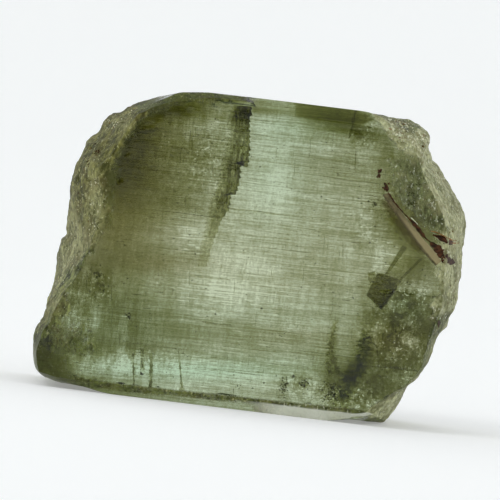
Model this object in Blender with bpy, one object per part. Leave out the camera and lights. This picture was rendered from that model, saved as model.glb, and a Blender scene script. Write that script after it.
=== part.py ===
"""A rough crystal of green tourmaline: a short, stout section of a striated prism, broken across at both ends.

The crystal is one solid. Its long axis (the crystal's c-axis) runs along X. The broad striated prism face looks
towards -Y, and the crystal rests on the narrow prism face that looks towards -Z, so it stands as a slab.
The shape is a box whose six sides are laid over measured edge curves, in millimetres:
- four edge curves where the crystal is widest (LEFT_EDGE, RIGHT_EDGE, TOP_EDGE and the flat foot at z = 0),
- four where the front prism face ends (FRONT_*), and four where the back face ends (BACK_*).
Between them the long sides have flat bevels, as a prism has, and the two broken ends are rounded and uneven.
"""

import math

import bmesh
import bpy
import numpy as np

NAME = "tourmaline_crystal"

# ---- driving dimensions, in millimetres ------------------------------------------------------------------------
LENGTH = 9.30  # along the crystal, at its longest
HEIGHT = 6.86  # from the narrow prism face it rests on to the one on top
THICKNESS = 4.40  # from the front prism face to the back
WIDEST = 0.56  # where the ends are widest, as a share of the thickness from the front
FRONT_BEVEL = 0.05  # depth of the front bevels along top and foot, as a share of the thickness
BACK_BEVEL = 0.05  # the same at the back
END_POWER = 1.7  # how sharply the broken ends turn away from the front face
FLAKE_LEAN = 0.42  # how far each back flake's edge leans along the crystal for each millimetre up it
FLAKE_STEP = 1.30  # how far the step at the edge of each back flake runs

# The broken ends at their widest, as (height, x)
LEFT_EDGE = [
    (0.06, -4.13), (0.14, -4.34), (0.28, -4.52), (0.46, -4.59), (0.88, -4.65), (1.22, -4.61), (1.46, -4.49),
    (1.73, -4.45), (2.13, -4.41), (2.44, -4.36), (2.79, -4.38), (2.97, -4.37), (3.16, -4.33), (3.35, -4.23),
    (3.58, -4.23), (3.72, -4.26), (4.11, -4.27), (4.50, -4.28), (4.80, -4.23), (5.12, -4.15), (5.43, -4.04),
    (5.67, -3.81), (5.93, -3.71), (6.11, -3.55), (6.20, -3.39), (6.37, -3.09),
]
RIGHT_EDGE = [
    (0.05, 3.40), (0.14, 3.46), (0.35, 3.57), (0.62, 3.67), (0.90, 3.78), (1.04, 3.94), (1.27, 4.06), (1.46, 4.18),
    (1.68, 4.22), (1.98, 4.29), (2.17, 4.38), (2.32, 4.50), (2.50, 4.52), (2.70, 4.63), (3.02, 4.65), (3.31, 4.65),
    (3.66, 4.64), (4.09, 4.62), (4.30, 4.63), (4.67, 4.60), (4.94, 4.50), (5.21, 4.36), (5.44, 4.19), (5.70, 3.98),
    (5.88, 3.85), (5.94, 3.71), (6.08, 3.66), (6.25, 3.57), (6.43, 3.57), (6.60, 3.47), (6.72, 3.32),
]
# The top prism face, as (x, height)
TOP_EDGE = [
    (-3.09, 6.37), (-2.75, 6.53), (-2.37, 6.68), (-1.96, 6.79), (-1.41, 6.85), (-0.60, 6.86), (1.90, 6.86),
    (2.40, 6.83), (2.80, 6.80), (3.06, 6.80), (3.32, 6.72),
]
FOOT_EDGE = [(-4.13, 0.06), (-3.95, 0.0), (3.25, 0.0), (3.40, 0.05)]

# Where the front prism face ends
FRONT_LEFT = [
    (0.30, -4.36), (0.50, -4.46), (0.80, -4.50), (1.10, -4.43), (1.40, -4.28), (1.74, -4.16), (2.17, -4.08),
    (2.59, -3.96), (2.91, -3.84), (3.38, -3.67), (3.67, -3.54), (4.03, -3.48), (4.39, -3.49), (4.73, -3.56),
    (4.94, -3.60), (5.26, -3.41), (5.97, -3.07), (6.20, -2.95),
]
FRONT_RIGHT = [
    (0.28, 2.98), (0.52, 3.20), (0.80, 3.50), (1.04, 3.76), (1.41, 4.02), (1.80, 4.12), (2.22, 4.20), (2.66, 4.24),
    (3.13, 4.22), (4.14, 4.20), (4.80, 4.08), (5.32, 3.76), (5.90, 3.42), (6.30, 2.98),
]
FRONT_TOP = [
    (-2.95, 6.20), (-2.45, 6.47), (-1.90, 6.64), (-1.30, 6.74), (-0.70, 6.77), (-0.46, 6.75), (-0.30, 6.59), (1.80, 6.57),
    (2.40, 6.52), (2.98, 6.30),
]
FRONT_FOOT = [(-4.36, 0.30), (-3.90, 0.23), (2.50, 0.21), (2.98, 0.28)]

# Where the back face ends
BACK_LEFT = [
    (0.16, -4.18), (0.60, -4.34), (1.40, -4.32), (2.60, -4.16), (3.60, -4.02), (4.60, -3.98), (5.45, -3.72),
    (6.20, -3.14),
]
BACK_RIGHT = [
    (0.14, 3.22), (1.30, 3.92), (2.40, 4.28), (3.40, 4.38), (4.40, 4.34), (5.30, 4.04), (5.90, 3.66), (6.45, 3.24),
]
BACK_TOP = [(-3.14, 6.20), (-2.30, 6.58), (0.00, 6.70), (2.20, 6.68), (3.24, 6.45)]
BACK_FOOT = [(-4.18, 0.16), (-3.70, 0.12), (2.90, 0.12), (3.22, 0.14)]

# How finely each direction is cut: along the crystal, through its thickness, and up its height
ALONG, THROUGH, UP = 34, 15, 28
# Levels through the thickness, as shares from front to back, so that an edge loop lies on each bevel's edge
LEVELS = [0.0, 0.025, 0.05, 0.11, 0.18, 0.26, 0.35, 0.45, 0.56, 0.66, 0.75, 0.83, 0.90, 0.95, 0.975, 1.0]


# ---- small tools ------------------------------------------------------------------------------------------------
def smooth_step(low, high, value):
    t = np.clip((value - low) / (high - low), 0.0, 1.0)
    return t * t * (3.0 - 2.0 * t)


def through(points, at):
    """A smooth curve through (station, value) points, read at these stations. Its slopes are limited, so that it
    never swings past a point and a flat stretch stays flat."""
    p = np.array(points, float)
    order = np.argsort(p[:, 0])
    u, v = p[order, 0], p[order, 1]
    chord = np.diff(v) / np.diff(u)
    before, after = chord[:-1], chord[1:]
    same_way = before * after > 0
    inner = np.where(same_way, 2 * before * after / np.where(same_way, before + after, 1.0), 0.0)
    slope = np.concatenate([[chord[0]], inner, [chord[-1]]])
    at = np.clip(at, u[0], u[-1])
    i = np.clip(np.searchsorted(u, at, side="right") - 1, 0, len(u) - 2)
    h = u[i + 1] - u[i]
    t = (at - u[i]) / h
    a = (1 + 2 * t) * (1 - t) ** 2 * v[i] + t * (1 - t) ** 2 * h * slope[i]
    b = t * t * (3 - 2 * t) * v[i + 1] + t * t * (t - 1) * h * slope[i + 1]
    return a + b


def lattice(ix, iy, iz, seed):
    """A fixed pseudo-random number from -1 to 1 for each whole-numbered place."""
    n = (ix * 374761393 + iy * 668265263 + iz * 2147483647 + seed * 1274126177) & 0xFFFFFFFF
    n = ((n ^ (n >> 13)) * 1274126177) & 0xFFFFFFFF
    n = (n ^ (n >> 16)) & 0xFFFFFFFF
    return n / 2147483647.5 - 1.0


def noise(p, size, seed=0):
    """Smooth noise from -1 to 1, with features of about the given size in millimetres. size may differ by axis."""
    q = p / np.array(size, float)
    f = np.floor(q).astype(np.int64)
    t = q - f
    t = t * t * t * (t * (t * 6 - 15) + 10)
    total = 0.0
    for dx in (0, 1):
        for dy in (0, 1):
            for dz in (0, 1):
                w = (
                    (t[:, 0] if dx else 1 - t[:, 0])
                    * (t[:, 1] if dy else 1 - t[:, 1])
                    * (t[:, 2] if dz else 1 - t[:, 2])
                )
                total = total + w * lattice(f[:, 0] + dx, f[:, 1] + dy, f[:, 2] + dz, seed)
    return total


# ---- the base form ----------------------------------------------------------------------------------------------
def side_curve(points, share, by_height):
    """Points along one edge curve at these shares of its length, as x and z."""
    low, high = min(p[0] for p in points), max(p[0] for p in points)
    station = low + (high - low) * share
    value = through(points, station)
    return (value, station) if by_height else (station, value)


def mixed(first, second, w):
    return first[0] + (second[0] - first[0]) * w, first[1] + (second[1] - first[1]) * w


def inset_of_ends(u):
    """How far an end has turned in from its widest outline: 0 there, 1 where the front or the back face begins."""
    front = np.clip((WIDEST - u) / WIDEST, 0, 1) ** END_POWER
    back = np.clip((u - WIDEST) / (1 - WIDEST), 0, 1) ** 1.5
    return front, back


def inset_of_long_sides(u):
    """The same for the top and the foot, which stay flat up to their bevels."""
    return np.clip(1 - u / FRONT_BEVEL, 0, 1), np.clip((u - (1 - BACK_BEVEL)) / BACK_BEVEL, 0, 1)


def outline(s, t, u):
    """x and z of a point at share s along the crystal and t up it, at share u of the thickness from the front."""
    ends, sides = inset_of_ends(u), inset_of_long_sides(u)
    near_end = 1 - smooth_step(0.0, 0.20, np.minimum(s, 1 - s))
    along = [a + (b - a) * near_end for a, b in zip(sides, ends)]
    at_end = ends

    def edge(widest, front, back, share, w, by_height):
        base = side_curve(widest, share, by_height)
        towards_front = side_curve(front, share, by_height)
        towards_back = side_curve(back, share, by_height)
        return mixed(mixed(base, towards_front, w[0]), towards_back, w[1])

    left = edge(LEFT_EDGE, FRONT_LEFT, BACK_LEFT, t, at_end, True)
    right = edge(RIGHT_EDGE, FRONT_RIGHT, BACK_RIGHT, t, at_end, True)
    top = edge(TOP_EDGE, FRONT_TOP, BACK_TOP, s, along, False)
    foot = edge(FOOT_EDGE, FRONT_FOOT, BACK_FOOT, s, along, False)
    zero, one = np.zeros_like(s), np.ones_like(s)
    corner = {}
    for key, share_t in (("l0", zero), ("l1", one)):
        corner[key] = edge(LEFT_EDGE, FRONT_LEFT, BACK_LEFT, share_t, at_end, True)
    for key, share_t in (("r0", zero), ("r1", one)):
        corner[key] = edge(RIGHT_EDGE, FRONT_RIGHT, BACK_RIGHT, share_t, at_end, True)
    found = []
    for k in (0, 1):
        ruled = (1 - t) * foot[k] + t * top[k] + (1 - s) * left[k] + s * right[k]
        square = (
            (1 - s) * (1 - t) * corner["l0"][k]
            + s * (1 - t) * corner["r0"][k]
            + (1 - s) * t * corner["l1"][k]
            + s * t * corner["r1"][k]
        )
        found.append(ruled - square)
    return found


def front_face(x, z):
    """y of the front prism face. It's flat, and falls away where the right-hand end has broken."""
    y = np.full_like(x, -THICKNESS / 2)
    start = np.where(z > 3.0, 2.75, 2.95) + 0.12 * np.sin(z * 2.1)
    y = y + 0.26 * smooth_step(0.0, 1.5, x - start) * smooth_step(0.2, 1.2, z)
    y = y + 0.10 * smooth_step(0.0, 0.9, -3.1 - x)
    return y


def back_face(x, z):
    """y of the back. The face is flat in the middle, and has lost a shell-shaped flake at each end."""
    y = np.full_like(x, THICKNESS / 2)
    # upper left flake: it starts at a line that leans to the left as it comes down
    inside = -0.35 + FLAKE_LEAN * (z - 3.2) - x
    flake = 0.15 * smooth_step(0.0, FLAKE_STEP, inside) + 0.36 * smooth_step(0.0, 3.6, inside)
    y = y - flake * smooth_step(2.2, 3.6, z)
    # lower right flake
    inside = x - 1.85 - FLAKE_LEAN * (z - 0.4)
    flake = 0.12 * smooth_step(0.0, FLAKE_STEP, inside) + 0.45 * smooth_step(0.0, 2.6, inside)
    y = y - flake * (1 - smooth_step(3.0, 4.8, z))
    return y


def crystal_form(cube):
    """Lays points of a cube from -1 to 1 over the crystal, in millimetres."""
    s, t = (cube[:, 0] + 1) / 2, (cube[:, 2] + 1) / 2
    u = (cube[:, 1] + 1) / 2
    x, z = outline(s, t, u)
    zero, one = np.zeros_like(u), np.ones_like(u)
    xf, zf = outline(s, t, zero)
    xb, zb = outline(s, t, one)
    front, back = front_face(xf, zf), back_face(xb, zb)
    y = front + (back - front) * u
    return np.stack([x, y, z], axis=1)


def break_height(p):
    """How far the break stands out at each point: low lumps, smaller ones, and shell-shaped chips."""
    lump = 0.085 * noise(p, (3.0, 1.3, 1.4), 3) + 0.05 * noise(p, (3.0, 0.62, 0.6), 5)
    chips = -0.07 * np.clip(noise(p, (3.0, 0.8, 0.5), 9) - 0.25, 0, 1)
    return lump + chips


def broken(points, cube):
    """The uneven break at each end. It moves points along X only, so the prism faces and the foot stay flat, and it
    counts from the widest outline, which keeps its shape."""
    s, t = (cube[:, 0] + 1) / 2, (cube[:, 2] + 1) / 2
    xw, zw = outline(s, t, np.full_like(s, WIDEST))
    widest = np.stack([xw, np.full_like(xw, (WIDEST - 0.5) * THICKNESS), zw], axis=1)
    off = break_height(points) - break_height(widest) - 0.05 * np.abs(cube[:, 1] - (2 * WIDEST - 1))
    moved = points.copy()
    moved[:, 0] += np.sign(cube[:, 0]) * off * np.abs(cube[:, 0]) ** 14
    return moved


# ---- building -----------------------------------------------------------------------------------------------------
def cut_box():
    """A cube of side 2 whose edges are cut evenly, ALONG by THROUGH by UP."""
    bm = bmesh.new()
    bmesh.ops.create_cube(bm, size=2.0)
    for axis, pieces in ((0, ALONG), (1, THROUGH), (2, UP)):
        edges = [
            e
            for e in bm.edges
            if abs(e.verts[0].co[axis] - e.verts[1].co[axis]) > 1e-4
        ]
        bmesh.ops.subdivide_edges(bm, edges=edges, cuts=pieces - 1, use_grid_fill=True)
    bmesh.ops.remove_doubles(bm, verts=bm.verts[:], dist=1e-5)
    return bm


def build():
    for old in list(bpy.data.objects):
        bpy.data.objects.remove(old, do_unlink=True)

    bm = cut_box()
    cube = np.array([v.co[:] for v in bm.verts], float)
    # the levels through the thickness put an edge loop along each bevel
    at = np.linspace(-1, 1, THROUGH + 1)
    cube[:, 1] = np.interp(cube[:, 1], at, np.array(LEVELS) * 2 - 1)
    # a little closer together towards the ends, where the surface turns
    cube[:, 0] = np.sin(cube[:, 0] * math.pi / 2 * 0.66) / math.sin(math.pi / 2 * 0.66)
    # towards the back the rows lean as the flakes' edges do, so that an edge loop lies along each flake
    lean = FLAKE_LEAN * HEIGHT / 2 * cube[:, 2] / (LENGTH / 2) * (cube[:, 1] + 1) / 2
    cube[:, 0] += lean * (1 - np.abs(cube[:, 0]) ** 2.5)
    points = crystal_form(cube)

    points = broken(points, cube)
    # the frame's origin: the middle of the crystal's box, on the surface it rests on
    middle = (points.min(axis=0) + points.max(axis=0)) / 2
    points[:, 0] -= middle[0]
    points[:, 1] -= middle[1]
    for v, p in zip(bm.verts, points):
        v.co = p / 1000.0
    bmesh.ops.triangulate(bm, faces=bm.faces[:], quad_method="BEAUTY")
    bmesh.ops.recalc_face_normals(bm, faces=bm.faces[:])

    mesh = bpy.data.meshes.new(NAME)
    bm.to_mesh(mesh)
    bm.free()
    crystal = bpy.data.objects.new(NAME, mesh)
    bpy.context.scene.collection.objects.link(crystal)
    mesh.shade_smooth()
    mesh.set_sharp_from_angle(angle=math.radians(28))

    material = bpy.data.materials.new("green_tourmaline")
    material.use_nodes = True
    shader = material.node_tree.nodes["Principled BSDF"]
    shader.inputs["Base Color"].default_value = (0.36, 0.42, 0.22, 1.0)
    shader.inputs["Roughness"].default_value = 0.18
    shader.inputs["Metallic"].default_value = 0.0
    shader.inputs["IOR"].default_value = 1.63
    shader.inputs["Transmission Weight"].default_value = 0.85
    mesh.materials.append(material)
    return crystal


build()
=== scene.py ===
"""The looks of a rough section of a green tourmaline crystal: the see-through striated prism with its frosted broken
ends, and what is sealed inside it (healed fissures, growth tubes, a lath-shaped inclusion and iron-stained cracks).

Shapes are worked out in millimetres and written in metres. Places read off the photograph are given as its pixels, in
its frame of 500 x 500, and at() turns them into millimetres on the crystal.
"""

import math

import bpy
import numpy as np
from mathutils import Matrix, Vector


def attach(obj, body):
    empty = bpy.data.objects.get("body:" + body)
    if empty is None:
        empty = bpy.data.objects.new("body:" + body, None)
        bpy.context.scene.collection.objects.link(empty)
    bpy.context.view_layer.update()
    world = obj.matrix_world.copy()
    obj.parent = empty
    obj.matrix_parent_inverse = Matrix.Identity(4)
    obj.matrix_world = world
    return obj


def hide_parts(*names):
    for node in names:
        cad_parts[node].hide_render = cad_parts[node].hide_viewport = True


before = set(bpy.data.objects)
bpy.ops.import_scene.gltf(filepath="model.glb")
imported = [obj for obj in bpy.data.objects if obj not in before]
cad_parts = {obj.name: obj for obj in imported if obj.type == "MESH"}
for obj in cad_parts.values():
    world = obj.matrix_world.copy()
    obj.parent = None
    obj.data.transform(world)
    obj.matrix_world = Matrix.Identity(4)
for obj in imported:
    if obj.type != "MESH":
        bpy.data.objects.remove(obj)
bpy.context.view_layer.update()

CRYSTAL = "tourmaline_crystal"

# ---- the form, as in the CAD part, in millimetres ----------------------------------------------------------------
LENGTH = 9.30
HEIGHT = 6.86
THICKNESS = 4.40
WIDEST = 0.56
FRONT_BEVEL = 0.05
BACK_BEVEL = 0.05
END_POWER = 1.7
FLAKE_LEAN = 0.42
FLAKE_STEP = 1.30

LEFT_EDGE = [
    (0.06, -4.13), (0.14, -4.34), (0.28, -4.52), (0.46, -4.59), (0.88, -4.65), (1.22, -4.61), (1.46, -4.49),
    (1.73, -4.45), (2.13, -4.41), (2.44, -4.36), (2.79, -4.38), (2.97, -4.37), (3.16, -4.33), (3.35, -4.23),
    (3.58, -4.23), (3.72, -4.26), (4.11, -4.27), (4.50, -4.28), (4.80, -4.23), (5.12, -4.15), (5.43, -4.04),
    (5.67, -3.81), (5.93, -3.71), (6.11, -3.55), (6.20, -3.39), (6.37, -3.09),
]
RIGHT_EDGE = [
    (0.05, 3.40), (0.14, 3.46), (0.35, 3.57), (0.62, 3.67), (0.90, 3.78), (1.04, 3.94), (1.27, 4.06), (1.46, 4.18),
    (1.68, 4.22), (1.98, 4.29), (2.17, 4.38), (2.32, 4.50), (2.50, 4.52), (2.70, 4.63), (3.02, 4.65), (3.31, 4.65),
    (3.66, 4.64), (4.09, 4.62), (4.30, 4.63), (4.67, 4.60), (4.94, 4.50), (5.21, 4.36), (5.44, 4.19), (5.70, 3.98),
    (5.88, 3.85), (5.94, 3.71), (6.08, 3.66), (6.25, 3.57), (6.43, 3.57), (6.60, 3.47), (6.72, 3.32),
]
TOP_EDGE = [
    (-3.09, 6.37), (-2.75, 6.53), (-2.37, 6.68), (-1.96, 6.79), (-1.41, 6.85), (-0.60, 6.86), (1.90, 6.86),
    (2.40, 6.83), (2.80, 6.80), (3.06, 6.80), (3.32, 6.72),
]
FOOT_EDGE = [(-4.13, 0.06), (-3.95, 0.0), (3.25, 0.0), (3.40, 0.05)]
FRONT_LEFT = [
    (0.30, -4.36), (0.50, -4.46), (0.80, -4.50), (1.10, -4.43), (1.40, -4.28), (1.74, -4.16), (2.17, -4.08),
    (2.59, -3.96), (2.91, -3.84), (3.38, -3.67), (3.67, -3.54), (4.03, -3.48), (4.39, -3.49), (4.73, -3.56),
    (4.94, -3.60), (5.26, -3.41), (5.97, -3.07), (6.20, -2.95),
]
FRONT_RIGHT = [
    (0.28, 2.98), (0.52, 3.20), (0.80, 3.50), (1.04, 3.76), (1.41, 4.02), (1.80, 4.12), (2.22, 4.20), (2.66, 4.24),
    (3.13, 4.22), (4.14, 4.20), (4.80, 4.08), (5.32, 3.76), (5.90, 3.42), (6.30, 2.98),
]
FRONT_TOP = [
    (-2.95, 6.20), (-2.45, 6.47), (-1.90, 6.64), (-1.30, 6.74), (-0.70, 6.77), (-0.46, 6.75), (-0.30, 6.59), (1.80, 6.57),
    (2.40, 6.52), (2.98, 6.30),
]
FRONT_FOOT = [(-4.36, 0.30), (-3.90, 0.23), (2.50, 0.21), (2.98, 0.28)]
BACK_LEFT = [
    (0.16, -4.18), (0.60, -4.34), (1.40, -4.32), (2.60, -4.16), (3.60, -4.02), (4.60, -3.98), (5.45, -3.72),
    (6.20, -3.14),
]
BACK_RIGHT = [
    (0.14, 3.22), (1.30, 3.92), (2.40, 4.28), (3.40, 4.38), (4.40, 4.34), (5.30, 4.04), (5.90, 3.66), (6.45, 3.24),
]
BACK_TOP = [(-3.14, 6.20), (-2.30, 6.58), (0.00, 6.70), (2.20, 6.68), (3.24, 6.45)]
BACK_FOOT = [(-4.18, 0.16), (-3.70, 0.12), (2.90, 0.12), (3.22, 0.14)]

# How finely the visible crystal is cut: along it, through its thickness and up it
ALONG, THROUGH, UP = 170, 40, 200


def smooth_step(low, high, value):
    t = np.clip((value - low) / (high - low), 0.0, 1.0)
    return t * t * (3.0 - 2.0 * t)


def through(points, at):
    """A smooth curve through (station, value) points with limited slopes."""
    p = np.array(points, float)
    order = np.argsort(p[:, 0])
    u, v = p[order, 0], p[order, 1]
    chord = np.diff(v) / np.diff(u)
    before, after = chord[:-1], chord[1:]
    same_way = before * after > 0
    inner = np.where(same_way, 2 * before * after / np.where(same_way, before + after, 1.0), 0.0)
    slope = np.concatenate([[chord[0]], inner, [chord[-1]]])
    at = np.clip(at, u[0], u[-1])
    i = np.clip(np.searchsorted(u, at, side="right") - 1, 0, len(u) - 2)
    h = u[i + 1] - u[i]
    t = (at - u[i]) / h
    a = (1 + 2 * t) * (1 - t) ** 2 * v[i] + t * (1 - t) ** 2 * h * slope[i]
    b = t * t * (3 - 2 * t) * v[i + 1] + t * t * (t - 1) * h * slope[i + 1]
    return a + b


def lattice(ix, iy, iz, seed):
    """A fixed pseudo-random number from -1 to 1 for each whole-numbered place."""
    n = (ix * 374761393 + iy * 668265263 + iz * 2147483647 + seed * 1274126177) & 0xFFFFFFFF
    n = ((n ^ (n >> 13)) * 1274126177) & 0xFFFFFFFF
    n = (n ^ (n >> 16)) & 0xFFFFFFFF
    return n / 2147483647.5 - 1.0


def noise(p, size, seed=0):
    """Smooth noise from -1 to 1, with features of about the given size in millimetres."""
    q = p / np.array(size, float)
    f = np.floor(q).astype(np.int64)
    t = q - f
    t = t * t * t * (t * (t * 6 - 15) + 10)
    total = 0.0
    for dx in (0, 1):
        for dy in (0, 1):
            for dz in (0, 1):
                w = (
                    (t[:, 0] if dx else 1 - t[:, 0])
                    * (t[:, 1] if dy else 1 - t[:, 1])
                    * (t[:, 2] if dz else 1 - t[:, 2])
                )
                total = total + w * lattice(f[:, 0] + dx, f[:, 1] + dy, f[:, 2] + dz, seed)
    return total


def side_curve(points, share, by_height):
    low, high = min(p[0] for p in points), max(p[0] for p in points)
    station = low + (high - low) * share
    value = through(points, station)
    return (value, station) if by_height else (station, value)


def mixed(first, second, w):
    return first[0] + (second[0] - first[0]) * w, first[1] + (second[1] - first[1]) * w


def inset_of_ends(u):
    front = np.clip((WIDEST - u) / WIDEST, 0, 1) ** END_POWER
    back = np.clip((u - WIDEST) / (1 - WIDEST), 0, 1) ** 1.5
    return front, back


def inset_of_long_sides(u):
    return np.clip(1 - u / FRONT_BEVEL, 0, 1), np.clip((u - (1 - BACK_BEVEL)) / BACK_BEVEL, 0, 1)


def outline(s, t, u):
    """x and z of a point at share s along the crystal and t up it, at share u of the thickness from the front."""
    ends, sides = inset_of_ends(u), inset_of_long_sides(u)
    near_end = 1 - smooth_step(0.0, 0.20, np.minimum(s, 1 - s))
    along = [a + (b - a) * near_end for a, b in zip(sides, ends)]

    def edge(widest, front, back, share, w, by_height):
        base = side_curve(widest, share, by_height)
        towards_front = side_curve(front, share, by_height)
        towards_back = side_curve(back, share, by_height)
        return mixed(mixed(base, towards_front, w[0]), towards_back, w[1])

    left = edge(LEFT_EDGE, FRONT_LEFT, BACK_LEFT, t, ends, True)
    right = edge(RIGHT_EDGE, FRONT_RIGHT, BACK_RIGHT, t, ends, True)
    top = edge(TOP_EDGE, FRONT_TOP, BACK_TOP, s, along, False)
    foot = edge(FOOT_EDGE, FRONT_FOOT, BACK_FOOT, s, along, False)
    zero, one = np.zeros_like(s), np.ones_like(s)
    corner = {}
    for key, share_t in (("l0", zero), ("l1", one)):
        corner[key] = edge(LEFT_EDGE, FRONT_LEFT, BACK_LEFT, share_t, ends, True)
    for key, share_t in (("r0", zero), ("r1", one)):
        corner[key] = edge(RIGHT_EDGE, FRONT_RIGHT, BACK_RIGHT, share_t, ends, True)
    found = []
    for k in (0, 1):
        ruled = (1 - t) * foot[k] + t * top[k] + (1 - s) * left[k] + s * right[k]
        square = (
            (1 - s) * (1 - t) * corner["l0"][k]
            + s * (1 - t) * corner["r0"][k]
            + (1 - s) * t * corner["l1"][k]
            + s * t * corner["r1"][k]
        )
        found.append(ruled - square)
    return found


def front_face(x, z):
    y = np.full_like(x, -THICKNESS / 2)
    start = np.where(z > 3.0, 2.75, 2.95) + 0.12 * np.sin(z * 2.1)
    y = y + 0.26 * smooth_step(0.0, 1.5, x - start) * smooth_step(0.2, 1.2, z)
    y = y + 0.10 * smooth_step(0.0, 0.9, -3.1 - x)
    return y


def back_face(x, z):
    y = np.full_like(x, THICKNESS / 2)
    inside = -0.35 + FLAKE_LEAN * (z - 3.2) - x
    flake = 0.15 * smooth_step(0.0, FLAKE_STEP, inside) + 0.36 * smooth_step(0.0, 3.6, inside)
    y = y - flake * smooth_step(2.2, 3.6, z)
    inside = x - 1.85 - FLAKE_LEAN * (z - 0.4)
    flake = 0.12 * smooth_step(0.0, FLAKE_STEP, inside) + 0.45 * smooth_step(0.0, 2.6, inside)
    y = y - flake * (1 - smooth_step(3.0, 4.8, z))
    return y


def crystal_form(cube):
    s, t = (cube[:, 0] + 1) / 2, (cube[:, 2] + 1) / 2
    u = (cube[:, 1] + 1) / 2
    x, z = outline(s, t, u)
    zero, one = np.zeros_like(u), np.ones_like(u)
    xf, zf = outline(s, t, zero)
    xb, zb = outline(s, t, one)
    front, back = front_face(xf, zf), back_face(xb, zb)
    return np.stack([x, front + (back - front) * u, z], axis=1)


def break_height(p):
    lump = 0.085 * noise(p, (3.0, 1.3, 1.4), 3) + 0.05 * noise(p, (3.0, 0.62, 0.6), 5)
    chips = -0.07 * np.clip(noise(p, (3.0, 0.8, 0.5), 9) - 0.25, 0, 1)
    return lump + chips


def broken(points, cube):
    """The uneven break at each end, which moves points along X only."""
    s, t = (cube[:, 0] + 1) / 2, (cube[:, 2] + 1) / 2
    xw, zw = outline(s, t, np.full_like(s, WIDEST))
    widest = np.stack([xw, np.full_like(xw, (WIDEST - 0.5) * THICKNESS), zw], axis=1)
    off = break_height(points) - break_height(widest) - 0.05 * np.abs(cube[:, 1] - (2 * WIDEST - 1))
    moved = points.copy()
    moved[:, 0] += np.sign(cube[:, 0]) * off * np.abs(cube[:, 0]) ** 14
    return moved


# ---- places read off the photograph ------------------------------------------------------------------------------
SLOPE = math.radians(7.0)  # how far the photograph shows the crystal turned clockwise
PIXEL = 0.0222  # millimetres
MIDDLE = (250.0, 258.0, -0.08, 3.32)  # a pixel, and the x and z there


def at(px, py):
    """x and z on the crystal, in millimetres, at a pixel of the photograph."""
    u, v = np.asarray(px, float) - MIDDLE[0], -(np.asarray(py, float) - MIDDLE[1])
    x = (u * math.cos(SLOPE) - v * math.sin(SLOPE)) * PIXEL + MIDDLE[2]
    z = (u * math.sin(SLOPE) + v * math.cos(SLOPE)) * PIXEL + MIDDLE[3]
    return x, z


def pixel_of(x, z):
    """The other way round."""
    a, b = (x - MIDDLE[2]) / PIXEL, (z - MIDDLE[3]) / PIXEL
    return MIDDLE[0] + a * math.cos(SLOPE) + b * math.sin(SLOPE), MIDDLE[1] + a * math.sin(SLOPE) - b * math.cos(SLOPE)


CAMERA_AWAY = 120.0  # millimetres from the camera to y = EYE_PLANE
EYE_PLANE = -0.9


def seen_at(points):
    """The pixels at which the camera sees these points of the surface."""
    ax, az = at(250, 250)
    grow = (CAMERA_AWAY + points[:, 1] - EYE_PLANE) / CAMERA_AWAY
    return pixel_of(ax + (points[:, 0] - ax) / grow, az + (points[:, 2] - az) / grow)


def inside_of(px, py, corners):
    """How far each place is inside a closed outline given as pixels: positive inside, in pixels."""
    n = len(corners)
    best = np.full(np.shape(px), 1e9)
    crossings = np.zeros(np.shape(px), int)
    for i in range(n):
        ax, ay = corners[i]
        bx, by = corners[(i + 1) % n]
        dx, dy = bx - ax, by - ay
        t = np.clip(((px - ax) * dx + (py - ay) * dy) / (dx * dx + dy * dy), 0, 1)
        best = np.minimum(best, np.hypot(px - ax - t * dx, py - ay - t * dy))
        over = (ay > py) != (by > py)
        crossings += over & (px < (bx - ax) * (py - ay) / np.where(dy == 0, 1e-9, dy) + ax)
    return np.where(crossings % 2 == 1, best, -best)


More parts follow.
